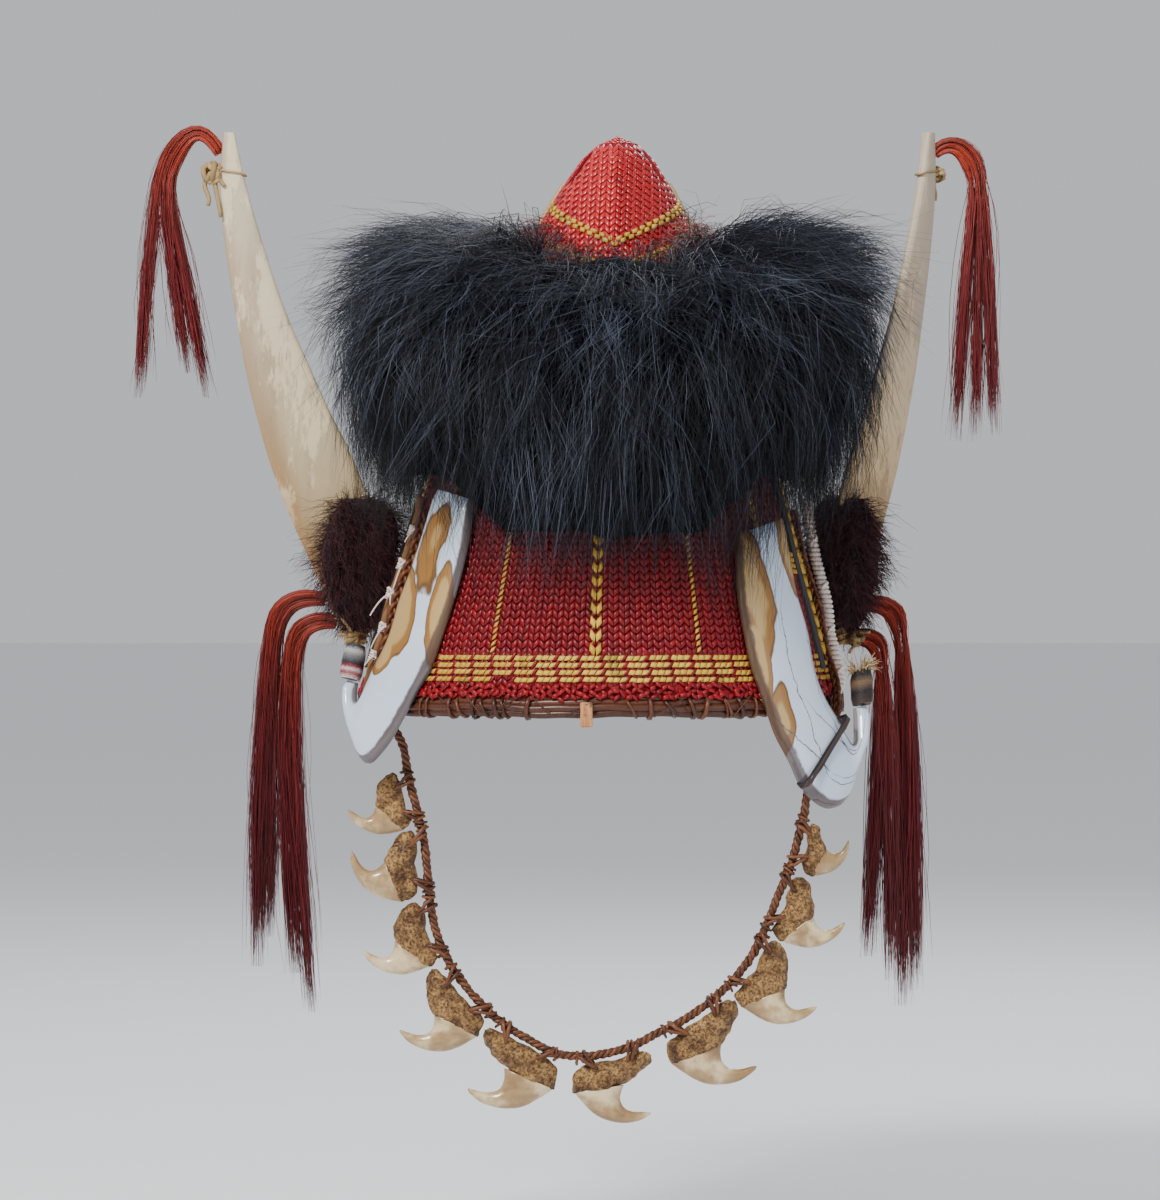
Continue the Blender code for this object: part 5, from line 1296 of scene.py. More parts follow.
def scatter(node, count, random):
    """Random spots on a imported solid, with the ways its faces point there."""
    mesh = frame["nodes"][node].data
    mesh.calc_loop_triangles()
    points = np.empty(len(mesh.vertices) * 3, np.float32)
    mesh.vertices.foreach_get("co", points)
    corners = np.empty(len(mesh.loop_triangles) * 3, np.int32)
    mesh.loop_triangles.foreach_get("vertices", corners)
    first, second, third = np.moveaxis(points.reshape(-1, 3)[corners.reshape(-1, 3)], 1, 0)
    normals = np.cross(second - first, third - first)
    areas = np.linalg.norm(normals, axis=1)
    pick = random.choice(len(areas), count, p=areas / areas.sum())
    u, v = random.random((2, count, 1))
    flip = u + v > 1
    u, v = np.where(flip, 1 - u, u), np.where(flip, 1 - v, v)
    return first[pick] + (second - first)[pick] * u + (third - first)[pick] * v, unit(normals[pick])


def short_fur(spots, normals, reach, random, fall=0.5, radius=0.00016, steps=4):
    """Short hairs that lean out from some spots and droop."""
    count = len(spots)
    lean = random.normal(0, 0.35, (count, 3))
    way = unit(normals * 0.8 + lean + (0, 0, -fall * 0.6))
    size = reach * random.uniform(0.55, 1.15, (count, 1))
    share = np.linspace(0, 1, steps)[None, :, None]
    paths = spots[:, None] - normals[:, None] * 0.0003 + way[:, None] * size[:, None] * share
    paths = paths + np.array([0, 0, -1.0]) * fall * size[:, None] * share**2 * 0.8
    paths = paths + random.normal(0, 0.12, paths.shape) * size[:, None] * share
    radii = radius * np.linspace(1, 0.25, steps) * random.uniform(0.7, 1.2, (count, 1))
    points, faces, strand, along = sweep(paths, radii)
    return points, faces, {"tone": random.random(count)[strand], "along": along}


SLEEVE_HAIRS = 5200


class HEADDRESS_OT_sleeves(bpy.types.Operator):
    """Wrap the short dark fur round the feet of the horns"""

    bl_idname = "headdress.sleeves"
    bl_label = "Sleeves"

    def execute(self, context):
        settings = settings_of(context).fur
        random = np.random.default_rng(41)
        under = Finish("brown_fur_under")
        speckle = under.noise(500, 5, 0.7)
        under.bump(speckle, 1.0, 0.002)
        under.paint(under.mix(speckle, (0.004, 0.003, 0.005), tuple(settings.brown)), 0.75 + 0.1 * speckle)
        hair = strand_finish("brown_fur_hair", (0.006, 0.003, 0.005), (0.10, 0.028, 0.034), 0.5)
        for side in ("left", "right"):
            node = f"horn_sleeve_{side}"
            refined(node, f"sleeve_body_{side}", under.material, 0.4, 0.0005, 300)
            spots, normals = scatter(node, SLEEVE_HAIRS, random)
            lo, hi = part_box(node)
            rise = np.clip((np.asarray(spots)[:, 2:] - lo[2]) / (hi[2] - lo[2]), 0, 1)
            reach = random.uniform(0.006, 0.0115, (SLEEVE_HAIRS, 1)) * (1 + 0.8 * rise**2)
            made = short_fur(spots, normals, reach, random, 0.42, 0.00017)
            mesh_piece(f"sleeve_hair_{side}", made, hair)
        return {"FINISHED"}


# Chin strap and claws

CHIN_DROP = 0.1487
CHIN_OUTS = (
    -1, -1, -0.953, -0.924, -0.88, -0.848, -0.828, -0.809, -0.765, -0.694, -0.598, -0.482, -0.353, -0.214,
    -0.099, 0.021, 0.151, 0.285, 0.41, 0.535, 0.65, 0.75, 0.8125, 0.861, 0.919, 0.957, 0.98, 0.996, 1, 1, 1,
)
CHIN_DOWNS = (
    0, 0.025, 0.079, 0.176, 0.279, 0.367, 0.485, 0.588, 0.676, 0.756, 0.829, 0.897, 0.947, 0.991, 1, 0.991,
    0.970, 0.929, 0.888, 0.835, 0.765, 0.679, 0.588, 0.514, 0.426, 0.338, 0.285, 0.191, 0.087, 0.025, 0,
)


def chin_line(count):
    """Points along the middle of the strap, evenly spaced."""
    anchor = math.radians(60)
    out = (RIM_HALF_WIDTH - CAP_WALL / 2) * math.sin(anchor)
    y = -(RIM_HALF_DEPTH - CAP_WALL / 2) * math.cos(anchor)
    route = np.stack([
        np.array(CHIN_OUTS) * out, np.full(len(CHIN_OUTS), y), -0.00066 - np.array(CHIN_DOWNS) * CHIN_DROP,
    ], -1)
    steps = np.concatenate([[0], np.cumsum(np.linalg.norm(np.diff(route, axis=0), axis=1))])
    return table(steps, route, np.linspace(0, steps[-1], count)), steps[-1]


def twisted(line, strands, swing, turns, flat=1.0, weave=False, random=None):
    """Strands twisted, or plaited, round a middle line."""
    ways = unit(np.gradient(line, axis=0))
    side = unit(np.cross(ways, (0.0, 1.0, 0.02)))
    front = np.cross(side, ways)
    share = np.linspace(0, TAU * turns, len(line))
    paths = []
    for number in range(strands):
        angle = share + number * TAU / strands
        a, b = (np.sin(angle), 0.62 * np.sin(2 * angle)) if weave else (np.cos(angle), np.sin(angle))
        wobble = 0
        if random is not None:
            wobble = np.interp(share, np.linspace(0, share[-1], 90), random.normal(0, 0.16, 90))
        paths.append(line + side * (swing * (a + wobble))[:, None] + front * (swing * flat * b)[:, None])
    return np.array(paths)


def loops(middles, first, second, wide, tall, count=14, random=None, loose=0.0):
    """Closed oval loops round some middles, each across two ways."""
    turn = np.arange(count) * TAU / count
    middles, first, second = (np.asarray(v, float).reshape(-1, 1, 3) for v in (middles, first, second))
    wide, tall = (np.broadcast_to(v, len(middles))[:, None, None] for v in (wide, tall))
    round_ = lambda values: np.sign(values) * np.abs(values) ** 0.75
    one, two = round_(np.cos(turn))[None, :, None], round_(np.sin(turn))[None, :, None]
    paths = middles + first * wide * one + second * tall * two
    if random is not None:
        paths = paths + random.normal(0, loose, paths.shape)
    return paths


def tube_parts(paths, radius, sides=6, closed=False, tones=None, flat=1.0):
    points, faces, strand, along = sweep(paths, radius, sides, flat, closed)
    tones = np.full(len(paths), 0.5) if tones is None else np.asarray(tones)
    return points, faces, {"tone": tones[strand], "along": along, "worn": 0.4}


def vertices_of(node):
    mesh = frame["nodes"][node].data
    points = np.empty(len(mesh.vertices) * 3, np.float32)
    mesh.vertices.foreach_get("co", points)
    return points.reshape(-1, 3).astype(float)


CLAWS = range(1, 11)


def claw_finishes(settings):
    """Pitted brown bone, and streaked polished horn."""
    bone = Finish("claw_bone_pitted", Roughness=0.5, Specular_IOR_Level=0.4)
    cloud = bone.noise(150, 6, 0.7)
    pits = bone.noise(900, 5, 0.75)
    shade = bone.mix(cloud.above(0.52, 0.20), tuple(settings.bone), (0.40, 0.225, 0.075))
    shade = bone.mix((1 - cloud).above(0.55, 0.14) * 0.8, shade, (0.035, 0.012, 0.005))
    shade = bone.mix(pits.above(0.565, 0.05) * 0.8, shade, (0.030, 0.013, 0.007))
    bone.bump(cloud - pits.above(0.56, 0.08) * 0.7, 0.7, 0.0014)
    bone.paint(shade, 0.34 + 0.25 * cloud)
    horn = Finish("claw_horn_polished", Coat_Weight=0.4, Coat_Roughness=0.08)
    grain = horn.noise(70, 4, 0.55)
    streak = horn.noise(340, 4, 0.6, (0.35, 1, 1))
    shade = horn.mix(grain.above(0.5, 0.22), tuple(settings.horn), (0.23, 0.13, 0.045))
    shade = horn.mix(streak.above(0.60, 0.10) * 0.45, shade, (0.17, 0.09, 0.04))
    shade = horn.mix((1 - grain).above(0.58, 0.10), shade, (0.66, 0.53, 0.31))
    horn.bump(streak, 0.25, 0.0005)
    horn.paint(shade, 0.18 + 0.2 * grain)
    return bone.material, horn.material


class HEADDRESS_OT_claws(bpy.types.Operator):
    """Hang the ten claws and tie them to the twisted strap"""

    bl_idname = "headdress.claws"
    bl_label = "Claws"

    def execute(self, context):
        settings = settings_of(context).claw
        random = np.random.default_rng(53)
        bone, horn = claw_finishes(settings)
        for number in CLAWS:
            nodes = f"claw_bone_{number:02d}", f"claw_sheath_{number:02d}"
            apart = vertices_of(nodes[1]).mean(axis=0) - vertices_of(nodes[0]).mean(axis=0)
            close = unit(apart) * 0.00045
            refined(nodes[0], f"bone_{number:02d}", bone, 0.85, 0.0011, 190, close)
            refined(nodes[1], f"sheath_{number:02d}", horn, 0.9, 0.0002, 200, -close)
        cane = cane_finish("chin_cane_strap", dimmed(settings.cane, 0.35), (0.22, 0.078, 0.032), 0.5, 0.15)
        line, size = chin_line(900)
        strands = twisted(line, 3, 0.00105, size / 0.0085, random=random)
        parts = [tube_parts(strands, 0.0010, 6, tones=(0.3, 0.75, 0.5))]
        for number in CLAWS:
            parts += claw_ties(number, line, random)
        mesh_piece("chin_strap", many(parts), cane, ["chin_cord"])
        return {"FINISHED"}


def claw_ties(number, line, random):
    """Loops of cane from the strap round both ends of a claw's bone, and turns on the strap beside them."""
    bone = vertices_of(f"claw_bone_{number:02d}")
    middle = bone.mean(axis=0)
    nearest = lambda point: np.linalg.norm(line - point, axis=1).argmin()
    at = nearest(middle)
    tangent = unit(line[min(at + 6, len(line) - 1)] - line[max(at - 6, 0)])
    inward = unit((line[at] - middle) * (1, 0, 1))
    front = np.array([0, -1.0, 0])
    along = (bone - middle) @ tangent
    thick = (bone[:, 1].max() - bone[:, 1].min()) / 2
    parts = []
    for end in (-1, 1):
        far = along * end > 0.45 * (along * end).max()
        close = bone[far][((bone[far] - middle) @ inward).argsort()[-12:]].mean(axis=0)
        hold = close * 0.72 + middle * 0.28
        spot = line[nearest(close)]
        away = unit((hold - spot) * (1, 0, 1))
        reach = np.linalg.norm((hold - spot) * (1, 0, 1)) / 2 + 0.0022
        centre = (hold + spot) / 2
        centres = [centre + tangent * shift + random.normal(0, 0.0002, 3) for shift in (-0.0010, 0.0012)]
        ways = [unit(away + tangent * lean) for lean in (0.22, -0.16)]
        lashing = loops(centres, ways, [front] * 2, reach, thick * 0.80 + 0.0008, 18, random, 0.00018)
        parts.append(tube_parts(lashing, random.uniform(0.00068, 0.00092, (2, 1)), 6, True, random.random(2)))
        side = np.cross(tangent, front)
        knots = [spot + tangent * shift * end for shift in (0.0016, 0.0029)]
        turns = [unit(side + tangent * lean) for lean in (0.35, -0.3)]
        wraps = loops(knots, turns, [front] * 2, 0.0027, 0.0027, 12, random, 0.00015)
        parts.append(tube_parts(wraps, 0.0006, 5, True, random.random(2)))
    return parts


# Hoop, peg, sticks and braids

# The hoop's canes: how far out of its middle, and how high
HOOP_CANES = ((0.0008, 0.0020), (0.0016, 0.0044), (0.0002, 0.0066), (-0.0018, 0.0042))
HOOP_WRAPS = 116
HOOP_THREADS = 46


def hoop_line(angle, out=0.0, height=0.0):
    angle, out, height = np.broadcast_arrays(angle, out, height)
    wide = RIM_HALF_WIDTH - CAP_WALL / 2 + out
    deep = RIM_HALF_DEPTH - CAP_WALL / 2 + out
    return np.stack([wide * np.sin(angle), -deep * np.cos(angle), height], -1)


def middle_line(node, count, steps=60):
    """The middle of an upright packed tube, from its foot to its head."""
    points = np.unique(np.round(vertices_of(node), 6), axis=0)
    points = points[points[:, 2].argsort()]
    groups = np.array_split(points, count)
    middles = np.array([group.mean(axis=0) for group in groups])
    middles[0, 2], middles[-1, 2] = points[0, 2], points[-1, 2]
    return table(middles[:, 2], middles, np.linspace(points[0, 2], points[-1, 2], steps))


class HEADDRESS_OT_hoop(bpy.types.Operator):
    """Bind the hoop of split canes under the cap and set the peg on it"""

    bl_idname = "headdress.hoop"
    bl_label = "Hoop"

    def execute(self, context):
        random = np.random.default_rng(61)
        cane = cane_finish("dark_cane_hoop", (0.008, 0.003, 0.002), (0.17, 0.052, 0.024), 0.42, 0.2)
        parts = []
        turn = np.linspace(0, TAU, 361)[:-1]
        for number, (out, height) in enumerate(HOOP_CANES):
            wave = 0.00035 * np.sin(turn * (9 + 2 * number) + number) + 0.0002 * np.sin(turn * 31 + number)
            line = hoop_line(turn, out, height + wave)
            parts.append(tube_parts(line[None], 0.0018, 8, True, [0.35 + 0.15 * number]))
        angles = np.arange(HOOP_WRAPS) * TAU / HOOP_WRAPS + random.normal(0, 0.011, HOOP_WRAPS)
        angles = np.sort(angles)
        middle = hoop_line(angles, 0.0, 0.0042)
        out = unit(middle * (1, 1, 0))
        along = np.cross(out, (0, 0, 1.0))
        rise = unit(np.array([0, 0, 1.0]) + along * random.normal(0.25, 0.28, (HOOP_WRAPS, 1)))
        wraps = loops(middle, out, rise, 0.0039, 0.0043, 14, random, 0.00012)
        wraps = wraps[random.random(HOOP_WRAPS) > 0.25]
        thick = random.uniform(0.0005, 0.0011, (len(wraps), 1))
        parts.append(tube_parts(wraps, thick, 5, True, random.random(len(wraps))))
        start = random.uniform(0, TAU, HOOP_THREADS)[:, None]
        span = np.linspace(0, 1, 12)
        reach = random.choice([-1, 1], HOOP_THREADS) * random.uniform(0.05, 0.16, HOOP_THREADS)
        thread = hoop_line(start + reach[:, None] * span, 0.0042, 0.0006 + 0.0085 * span + 0 * start)
        parts.append(tube_parts(thread, 0.00028, 4, False, random.random(HOOP_THREADS)))
        mesh_piece("hoop_canes", many(parts), cane, ["rim_hoop"])
        self.peg()
        return {"FINISHED"}

    def peg(self):
        """The rounded wooden pin on the hoop's front."""
        lo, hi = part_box("rim_peg")
        bpy.ops.object.select_all(action="DESELECT")
        bpy.ops.mesh.primitive_cube_add(size=1, location=(0, 0, 0))
        peg = bpy.context.object
        peg.name = "peg_wood_pin"
        bpy.ops.object.mode_set(mode="EDIT")
        bpy.ops.mesh.select_all(action="SELECT")
        bpy.ops.transform.resize(value=tuple(hi - lo))
        bpy.ops.transform.translate(value=tuple((hi + lo) / 2))
        bpy.ops.mesh.bevel(offset=0.0006, segments=3)
        bpy.ops.mesh.select_all(action="SELECT")
        bpy.ops.mesh.subdivide(number_cuts=5)
        bpy.ops.object.mode_set(mode="OBJECT")
        roughen(peg.data, 0.00025, 700, (1, 1, 0.3))
        peg.data.shade_smooth()
        wood = Finish("peg_orange_wood", Roughness=0.5)
        grain = wood.noise(500, 5, 0.6, (1, 1, 0.15))
        wood.bump(grain, 0.5, 0.0005)
        shade = wood.mix(grain.above(0.5, 0.2), (0.30, 0.10, 0.032), (0.55, 0.26, 0.10))
        knots = wood.noise(240, 4, 0.7).above(0.62, 0.05)
        wood.paint(wood.mix(knots * 0.8, shade, (0.05, 0.02, 0.012)), 0.4 + 0.2 * grain)
        peg.data.materials.append(wood.material)
        worn_by_root(peg, ["rim_peg"])


def windings(line, start, end, pitch, out, random):
    """Turns of string close together round a part of a line."""
    steps = np.linalg.norm(np.diff(line, axis=0), axis=1)
    size = steps.sum()
    turns = max(1, int((end - start) * size / pitch))
    count = turns * 10 + 1
    share = np.linspace(start, end, count)
    spots = table(np.linspace(0, 1, len(line)), line, share)
    ways = unit(np.gradient(spots, axis=0))
    side = unit(np.cross(ways, (0, 1.0, 0.02)))
    front = np.cross(side, ways)
    angle = np.arange(count) * TAU / 10
    swell = out + random.normal(0, 0.00006, count)
    return spots + side * (swell * np.cos(angle))[:, None] + front * (swell * np.sin(angle))[:, None]


# The left stick's knots: share of its height, and size; then those of the right stick
LEFT_KNOTS = ((0.17, 0.8), (0.31, 1.5), (0.48, 1.8), (0.63, 1.6), (0.80, 0.9))
RIGHT_KNOTS = (0.12, 0.33, 0.55, 0.78, 0.95)


class HEADDRESS_OT_sides(bpy.types.Operator):
    """Set the sticks, the braids, the staves and the ribs on the sides of the cap"""

    bl_idname = "headdress.sides"
    bl_label = "Sides"

    def execute(self, context):
        random = np.random.default_rng(71)
        brown = cane_finish("stick_cane", (0.09, 0.032, 0.010), (0.36, 0.18, 0.06), 0.4, 0.2)
        string = strand_finish("white_string", (0.55, 0.42, 0.36), (0.88, 0.80, 0.74), 0.7)
        braid = cane_finish("braid_cane", (0.035, 0.009, 0.004), (0.22, 0.068, 0.022), 0.45, 0.1)
        left = middle_line("side_stick_left", 8)
        thick = 0.0017 * (1 + 0.08 * np.sin(np.arange(len(left)) * 0.9))
        made = many([tube_parts(left[None], thick, 10, tones=[0.5])])
        mesh_piece("stick_left", made, brown, ["side_stick_left"])
        parts = []
        heights = (left[:, 2] - left[0, 2]) / (left[-1, 2] - left[0, 2])
        for knot, big in LEFT_KNOTS:
            wound = windings(left, knot, knot + 0.045, 0.0009, 0.0022, random)
            parts.append(tube_parts(wound[None], 0.00048, 5))
            place = table(heights, left, knot + 0.02)
            for way in ((0.8, 0, 0.6), (-0.7, -0.2, 0.7)):
                middle = place + np.array([0.0006 * big, -0.0026, 0.0008])
                bump = loops([middle], [way], [(0, -1, 0.3)], 0.0019 * big, 0.0011 * big, 10)
                parts.append(tube_parts(bump, 0.00066, 6, True))
            tail = np.linspace(0, 1, 10)[:, None]
            for lean in (-0.004, 0.002):
                run = random.normal((lean * 0.6, -0.0015, 0.001), 0.0009, 3) * big
                loose = place + (0, -0.0032, 0) + tail * run + tail**2 * (lean * 0.5, 0, -0.006 * big)
                parts.append(tube_parts(loose[None], 0.0005 * np.linspace(1, 0.7, 10), 5))
        mesh_piece("string_left", many(parts), string)
        right = middle_line("side_stick_right", 8)
        parts = [tube_parts(right[None], 0.0014, 8, tones=[0.2])]
        parts.append(tube_parts(windings(right, 0.02, 0.98, 0.0021, 0.0019, random)[None], 0.00098, 6))
        for knot in RIGHT_KNOTS:
            place = table(np.linspace(0, 1, len(right)), right, knot)
            bump = loops([place + (0.0008, -0.0016, 0)], [(0.7, 0, 0.7)], [(0, -1, 0.2)], 0.0018, 0.0013, 10)
            parts.append(tube_parts(bump, 0.0007, 6, True, [0.8]))
        mesh_piece("stick_right_string", many(parts), string, ["side_stick_right"])
        for side, groups, thick in (("left", 8, 1.35), ("right", 10, 1)):
            node = f"side_braid_{side}"
            line = middle_line(node, groups, 240)
            size = np.linalg.norm(np.diff(line, axis=0), axis=1).sum()
            paths = twisted(line, 3, 0.00115 * thick, size / (0.011 * thick), 0.8, True)
            made = many([tube_parts(paths, 0.00088 * thick, 6, tones=(0.25, 0.5, 0.8))])
            mesh_piece(f"braid_{side}", made, braid, [node])
        # The staves are near-black: partly stained cane and partly painted shade
        stave = cane_finish("dark_stave", (0.010, 0.007, 0.010), (0.10, 0.055, 0.055), 0.35, 0.5)
        rib = cane_finish("cream_rib", (0.40, 0.27, 0.13), (0.80, 0.68, 0.42), 0.4, 0.3)
        for side in ("left", "right"):
            frame["nodes"][f"side_stave_{side}"].data.materials[0] = stave
            frame["nodes"][f"crown_rib_{side}"].data.materials[0] = rib
        return {"FINISHED"}


# Knots, bindings and strap

KNOT_TAILS = {
    "tip_knot_left": ((0.004, -0.003, -0.016), (-0.004, -0.002, -0.012), (0.006, -0.003, -0.004)),
    "tip_knot_right": ((-0.002, -0.002, -0.010), (0.003, -0.002, 0.004)),
    "base_knot_left": ((-0.004, -0.003, 0.012), (0.003, -0.002, -0.008), (-0.006, -0.002, 0.004)),
    "base_knot_right": ((0.004, -0.002, 0.006), (-0.003, -0.002, -0.006)),
}
BINDING_HEIGHT = 0.0155
BINDING_TURNS = 24
# The bindings' bands of colour, from the foot up
BINDING_BANDS = {
    "left": [
        (0, (0.75, 0.62, 0.60)), (0.16, (0.30, 0.02, 0.03)), (0.26, (0.72, 0.66, 0.66)),
        (0.34, (0.30, 0.02, 0.03)), (0.44, (0.008, 0.008, 0.012)), (0.66, (0.20, 0.20, 0.22)),
        (0.80, (0.55, 0.52, 0.50)), (0.92, (0.04, 0.04, 0.05)),
    ],
    "right": [
        (0, (0.05, 0.025, 0.015)), (0.35, (0.012, 0.010, 0.014)), (0.6, (0.20, 0.12, 0.06)),
        (0.8, (0.02, 0.014, 0.014)),
    ],
}
STRAWS = 130


def knot_parts(centre, size, radius, tails, random):
    """A lump of twine, with loose ends that leave it some way."""
    ways = unit(random.normal(0, 1, (5, 3)))
    other = unit(np.cross(ways, unit(random.normal(0, 1, (5, 3)))))
    lump = loops([centre] * 5, ways, other, size, size * 0.8, 12, random, size * 0.08)
    parts = [tube_parts(lump, radius, 6, True, random.random(5))]
    share = np.linspace(0, 1, 10)[:, None]
    for tail in tails:
        line = centre + share * np.array(tail) + np.sin(share * 5) * random.normal(0, 0.0009, 3)
        line = line + np.array([0, 0, -1]) * 0.25 * np.linalg.norm(tail) * share**2
        parts.append(tube_parts(line[None], radius * np.linspace(1, 0.7, 10), 5, False, [0.6]))
    return parts


def horn_wraps(side, rises, radius, random):
    """Turns of twine round a horn."""
    ring = HORN_SECTION[::2]
    paths = []
    for rise in rises:
        half = max(table(HORN_RISES, HORN_WIDTHS, rise) * HORN_HALF_WIDTH, 0.001)
        through = ring[:, 1] * (HORN_HALF_THICKNESS + radius * 1.1)
        rises_round = rise + 0.006 * np.cos(np.arange(len(ring)) * TAU / len(ring))
        paths.append(horn_spots(side, rises_round, ring[:, 0] * (1 + 0.0009 / half), through))
    return tube_parts(np.array(paths), radius, 5, True, random.random(len(rises)))


class HEADDRESS_OT_ties(bpy.types.Operator):
    """Tie the knots of twine, the plates' bindings and the dark strap"""

    bl_idname = "headdress.ties"
    bl_label = "Ties"

    def execute(self, context):
        random = np.random.default_rng(83)
        twine = strand_finish("twine_knots", (0.12, 0.07, 0.022), (0.46, 0.32, 0.15), 0.75)
        for name, ends in KNOT_TAILS.items():
            lo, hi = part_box(name)
            side = name.rsplit("_", 1)[1]
            big = 1.35 if name == "tip_knot_left" else 1
            parts = knot_parts(np.array((lo + hi) / 2), 0.0031 * big, 0.0010 * big, ends, random)
            rises = (0.922,) if name.startswith("tip") else (0.010, 0.022, 0.034, 0.046)
            parts.append(horn_wraps(side, rises, 0.0005, random))
            mesh_piece(f"{name}_twine", many(parts), twine, [name])
        self.bind("left", 0.0, random)
        self.bind("right", 0.2, random)
        self.strap(random)
        return {"FINISHED"}

    def bind(self, side, lean, random):
        """Thread wound on the end of a plate's short arm, in bands of colour, with straw at the right one."""
        _, size, _, _, rows = PLATES[side]
        near_out, near_up, far_out, far_up = rows[-1]
        foot = max(near_up, far_up) * size + 0.0003
        share = np.linspace(0.02, 0.98, BINDING_TURNS)
        swell = np.interp(share, (0, 0.2, 0.75, 1), (0.86, 1.0, 1.0, 0.78)) * 0.0047
        angle = np.arange(16) * TAU / 16
        across = (near_out + far_out) / 2 * size + lean * share * BINDING_HEIGHT
        out = across[:, None] + swell[:, None] * np.cos(angle)
        uneven = random.normal(0, 0.00005, (BINDING_TURNS, 16))
        front = PLATE_CROWN / 2 + swell[:, None] * np.sin(angle) + uneven
        up = foot + share[:, None] * BINDING_HEIGHT + 0.0003 * np.cos(angle)
        paths = plate_spots(side, out, up, front)
        core_out, core_up = across[::3, None], foot + share[::3, None] * BINDING_HEIGHT
        core = plate_spots(side, core_out, core_up, PLATE_CROWN / 2 + 0 * core_out)
        finish = Finish(f"binding_thread_{side}", Roughness=0.6)
        speck = finish.noise(1500, 2)
        level = finish.attribute("tone") + (speck - 0.5) * 0.16
        ramp = finish.add("ShaderNodeValToRGB", {"stops": BINDING_BANDS[side]}, {"Fac": level})
        finish.bump(finish.noise(2500), 0.4, 0.0002)
        finish.paint(finish.mix(speck * 0.5, ramp, (0.03, 0.025, 0.03), "MULTIPLY"), 0.5 + 0.2 * speck)
        made = many([
            tube_parts(paths, 0.00042, 5, True, share),
            tube_parts(core.reshape(1, -1, 3), 0.0040, 12, False, [0.5]),
        ])
        mesh_piece(f"binding_{side}_thread", made, finish.material, [f"plate_binding_{side}"])
        if side == "right":
            self.straws(across[-1], foot, random)

    def straws(self, middle, foot, random):
        """The tuft of straw that stands out of the right binding."""
        straw = strand_finish("straw_tuft", (0.10, 0.05, 0.022), (0.62, 0.45, 0.24), 0.6)
        t = np.linspace(0, 1, 6)[None, :]
        spin = random.uniform(0, TAU, (STRAWS, 1))
        reach = random.uniform(0.002, 0.0045, (STRAWS, 1))
        lengthy = random.uniform(0.006, 0.014, (STRAWS, 1))
        splay = 0.003 * t**2 * random.normal(0.5, 0.6, (STRAWS, 1))
        out = middle + np.cos(spin) * reach * (1 + 0.9 * t) + splay
        front = PLATE_CROWN / 2 + np.sin(spin) * reach * (1 + 0.8 * t)
        up = foot + 0.0145 + lengthy * t * random.uniform(0.3, 1, (STRAWS, 1)) - 0.004 * t**2
        paths = plate_spots("right", out, up, front)
        made = tube_parts(paths, 0.00026 * np.linspace(1, 0.4, 6), 4, False, random.random(STRAWS))
        mesh_piece("binding_right_straw", made, straw)

    def strap(self, random):
        """Dark cords side by side round the hook of the right plate."""
        size = PLATES["right"][1]
        low, high = np.array((-0.285, -0.142)) * size, np.array((-0.040, 0.075)) * size
        along = unit(high - low)
        across = np.array([-along[1], along[0]])
        half = np.linalg.norm(high - low) / 2 + 0.0010
        middle = (low + high) / 2
        turn = np.arange(28) * TAU / 28
        squash = lambda values: np.sign(values) * np.abs(values) ** 0.45
        paths = []
        for shift in (-0.0011, -0.0004, 0.0004, 0.0011):
            way = half * squash(np.cos(turn)) + random.normal(0, 0.0001, 28)
            flat = middle + along * way[:, None] + across * (shift + random.normal(0, 0.00012, (28, 1)))
            front = PLATE_CROWN / 2 + (PLATE_CROWN / 2 + 0.0009) * squash(np.sin(turn))
            paths.append(plate_spots("right", flat[:, 0], flat[:, 1], front))
        cord = strand_finish("dark_cord", (0.012, 0.010, 0.014), (0.11, 0.075, 0.06), 0.6)
        made = tube_parts(np.array(paths), 0.00048, 6, True, random.random(4))
        mesh_piece("plate_strap_cords", made, cord, ["plate_strap_right"])


# Stage


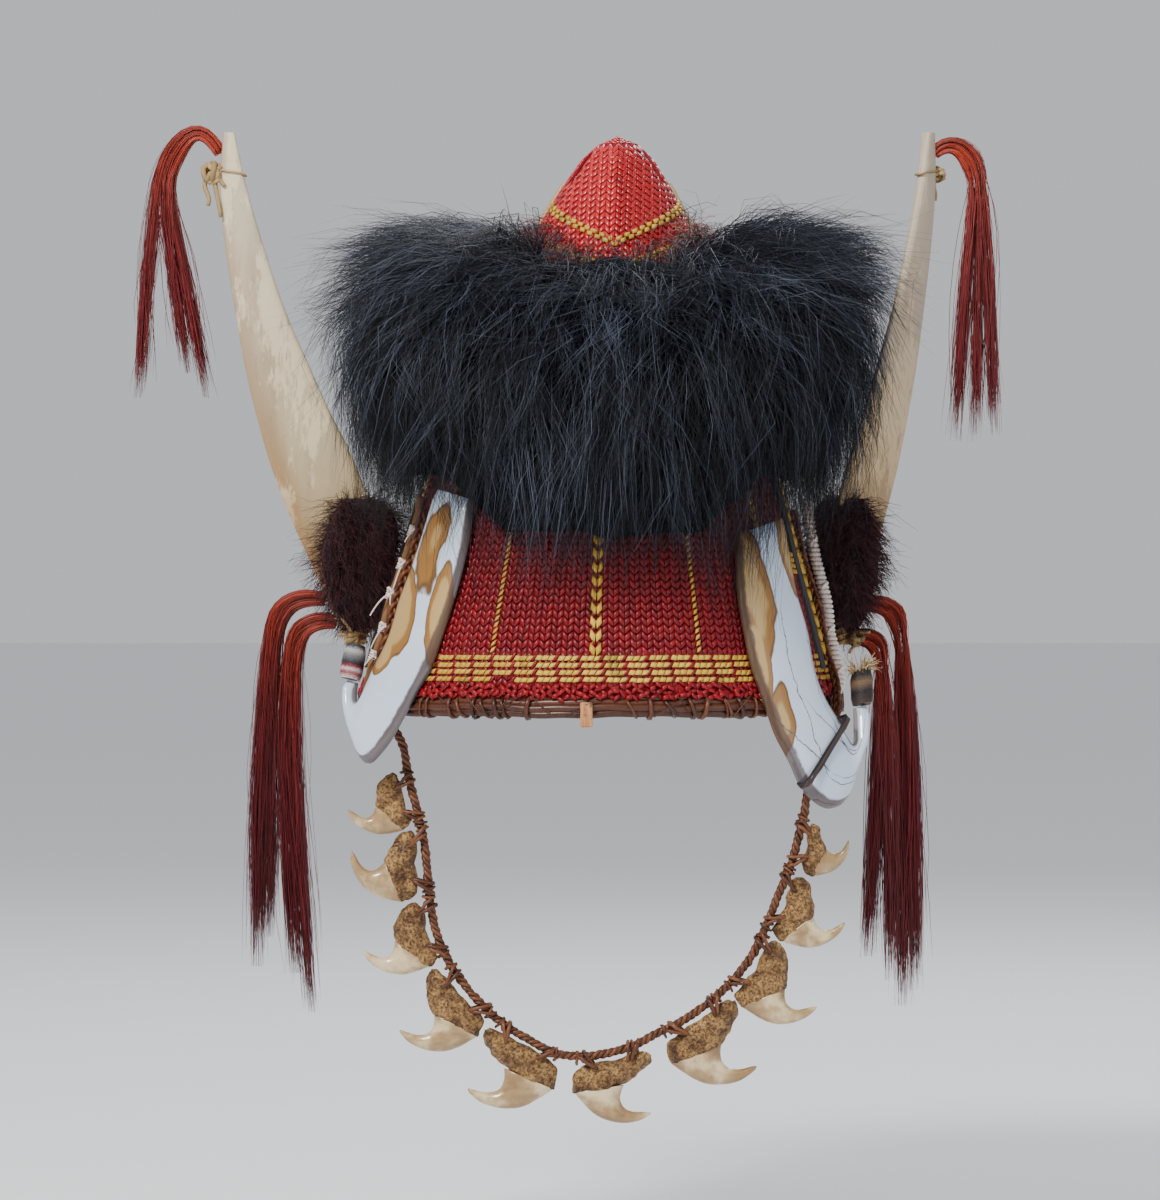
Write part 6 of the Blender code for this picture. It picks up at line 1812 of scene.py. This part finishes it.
class HEADDRESS_OT_stage(bpy.types.Operator):
    """Set the camera, the pale floor and the studio light"""

    bl_idname = "headdress.stage"
    bl_label = "Stage"

    def execute(self, context):
        settings = settings_of(context).stage
        bpy.ops.object.select_all(action="DESELECT")
        camera = bpy.data.objects.new("camera", bpy.data.cameras.new("camera"))
        context.scene.collection.objects.link(camera)
        camera.location = (-0.009, -2.0, 0.0504)
        camera.rotation_euler = (math.pi / 2, 0, 0)
        camera.data.lens = 133.3
        context.scene.camera = camera
        bpy.ops.mesh.primitive_plane_add(size=60, location=(0, 0, -settings.drop))
        floor = context.object
        floor.name = "floor"
        finish = Finish("pale_floor", Roughness=0.9)
        grain = finish.noise(40, 4, 0.6)
        pale = tuple(settings.pale)
        finish.paint(finish.mix(grain, dimmed(pale, 0.97), pale))
        floor.data.materials.append(finish.material)
        world = context.scene.world or bpy.data.worlds.new("world")
        context.scene.world = world
        world.use_nodes = True
        back = world.node_tree.nodes["Background"]
        back.inputs["Color"].default_value = (0.86, 0.88, 0.92, 1)
        back.inputs["Strength"].default_value = 0.68
        for name, place, size, power, tint in (
            ("key", (-0.85, -1.5, 1.5), 0.4, 66, (1.0, 0.97, 0.93)),
            ("fill", (1.5, -1.3, 0.5), 1.2, 9, (0.88, 0.93, 1.0)),
            ("rim", (0.5, 1.5, 1.5), 0.9, 22, (0.95, 0.97, 1.0)),
        ):
            light = bpy.data.objects.new(name, bpy.data.lights.new(name, "AREA"))
            context.scene.collection.objects.link(light)
            light.location = place
            light.rotation_euler = (Vector((0, 0, 0.08)) - Vector(place)).to_track_quat("-Z", "Y").to_euler()
            light.data.size = size
            light.data.energy = power
            light.data.color = tint
        return {"FINISHED"}


PIECES = (
    HEADDRESS_OT_stage,
    HEADDRESS_OT_claws,
    HEADDRESS_OT_hoop,
    HEADDRESS_OT_sleeves,
    HEADDRESS_OT_sides,
    HEADDRESS_OT_ties,
    HEADDRESS_OT_horns,
    HEADDRESS_OT_plates,
    HEADDRESS_OT_weave,
    HEADDRESS_OT_tassels,
    HEADDRESS_OT_ruff,
)


class HEADDRESS_PT_panel(bpy.types.Panel):
    """Lists the pieces of the headdress"""

    bl_idname = "HEADDRESS_PT_panel"
    bl_label = "Headdress"
    bl_space_type = "VIEW_3D"
    bl_region_type = "UI"
    bl_category = "Headdress"

    def draw(self, context):
        for piece in PIECES:
            self.layout.operator(piece.bl_idname)


CLASSES = (
    WeaveSettings, FurSettings, HornSettings, PlateSettings, HairSettings, ClawSettings, StageSettings,
    HeaddressSettings, *PIECES, HEADDRESS_PT_panel,
)


def register():
    for made in CLASSES:
        bpy.utils.register_class(made)
    bpy.types.Scene.headdress = PointerProperty(type=HeaddressSettings)


def unregister():
    del bpy.types.Scene.headdress
    for made in reversed(CLASSES):
        bpy.utils.unregister_class(made)


def main():
    register()
    for name in list(bpy.data.objects.keys()):
        if name in ("Cube", "Light", "Camera"):
            bpy.data.objects.remove(bpy.data.objects[name])
    for piece in PIECES:
        family, verb = piece.bl_idname.split(".")
        getattr(getattr(bpy.ops, family), verb)()


if __name__ == "__main__":
    main()
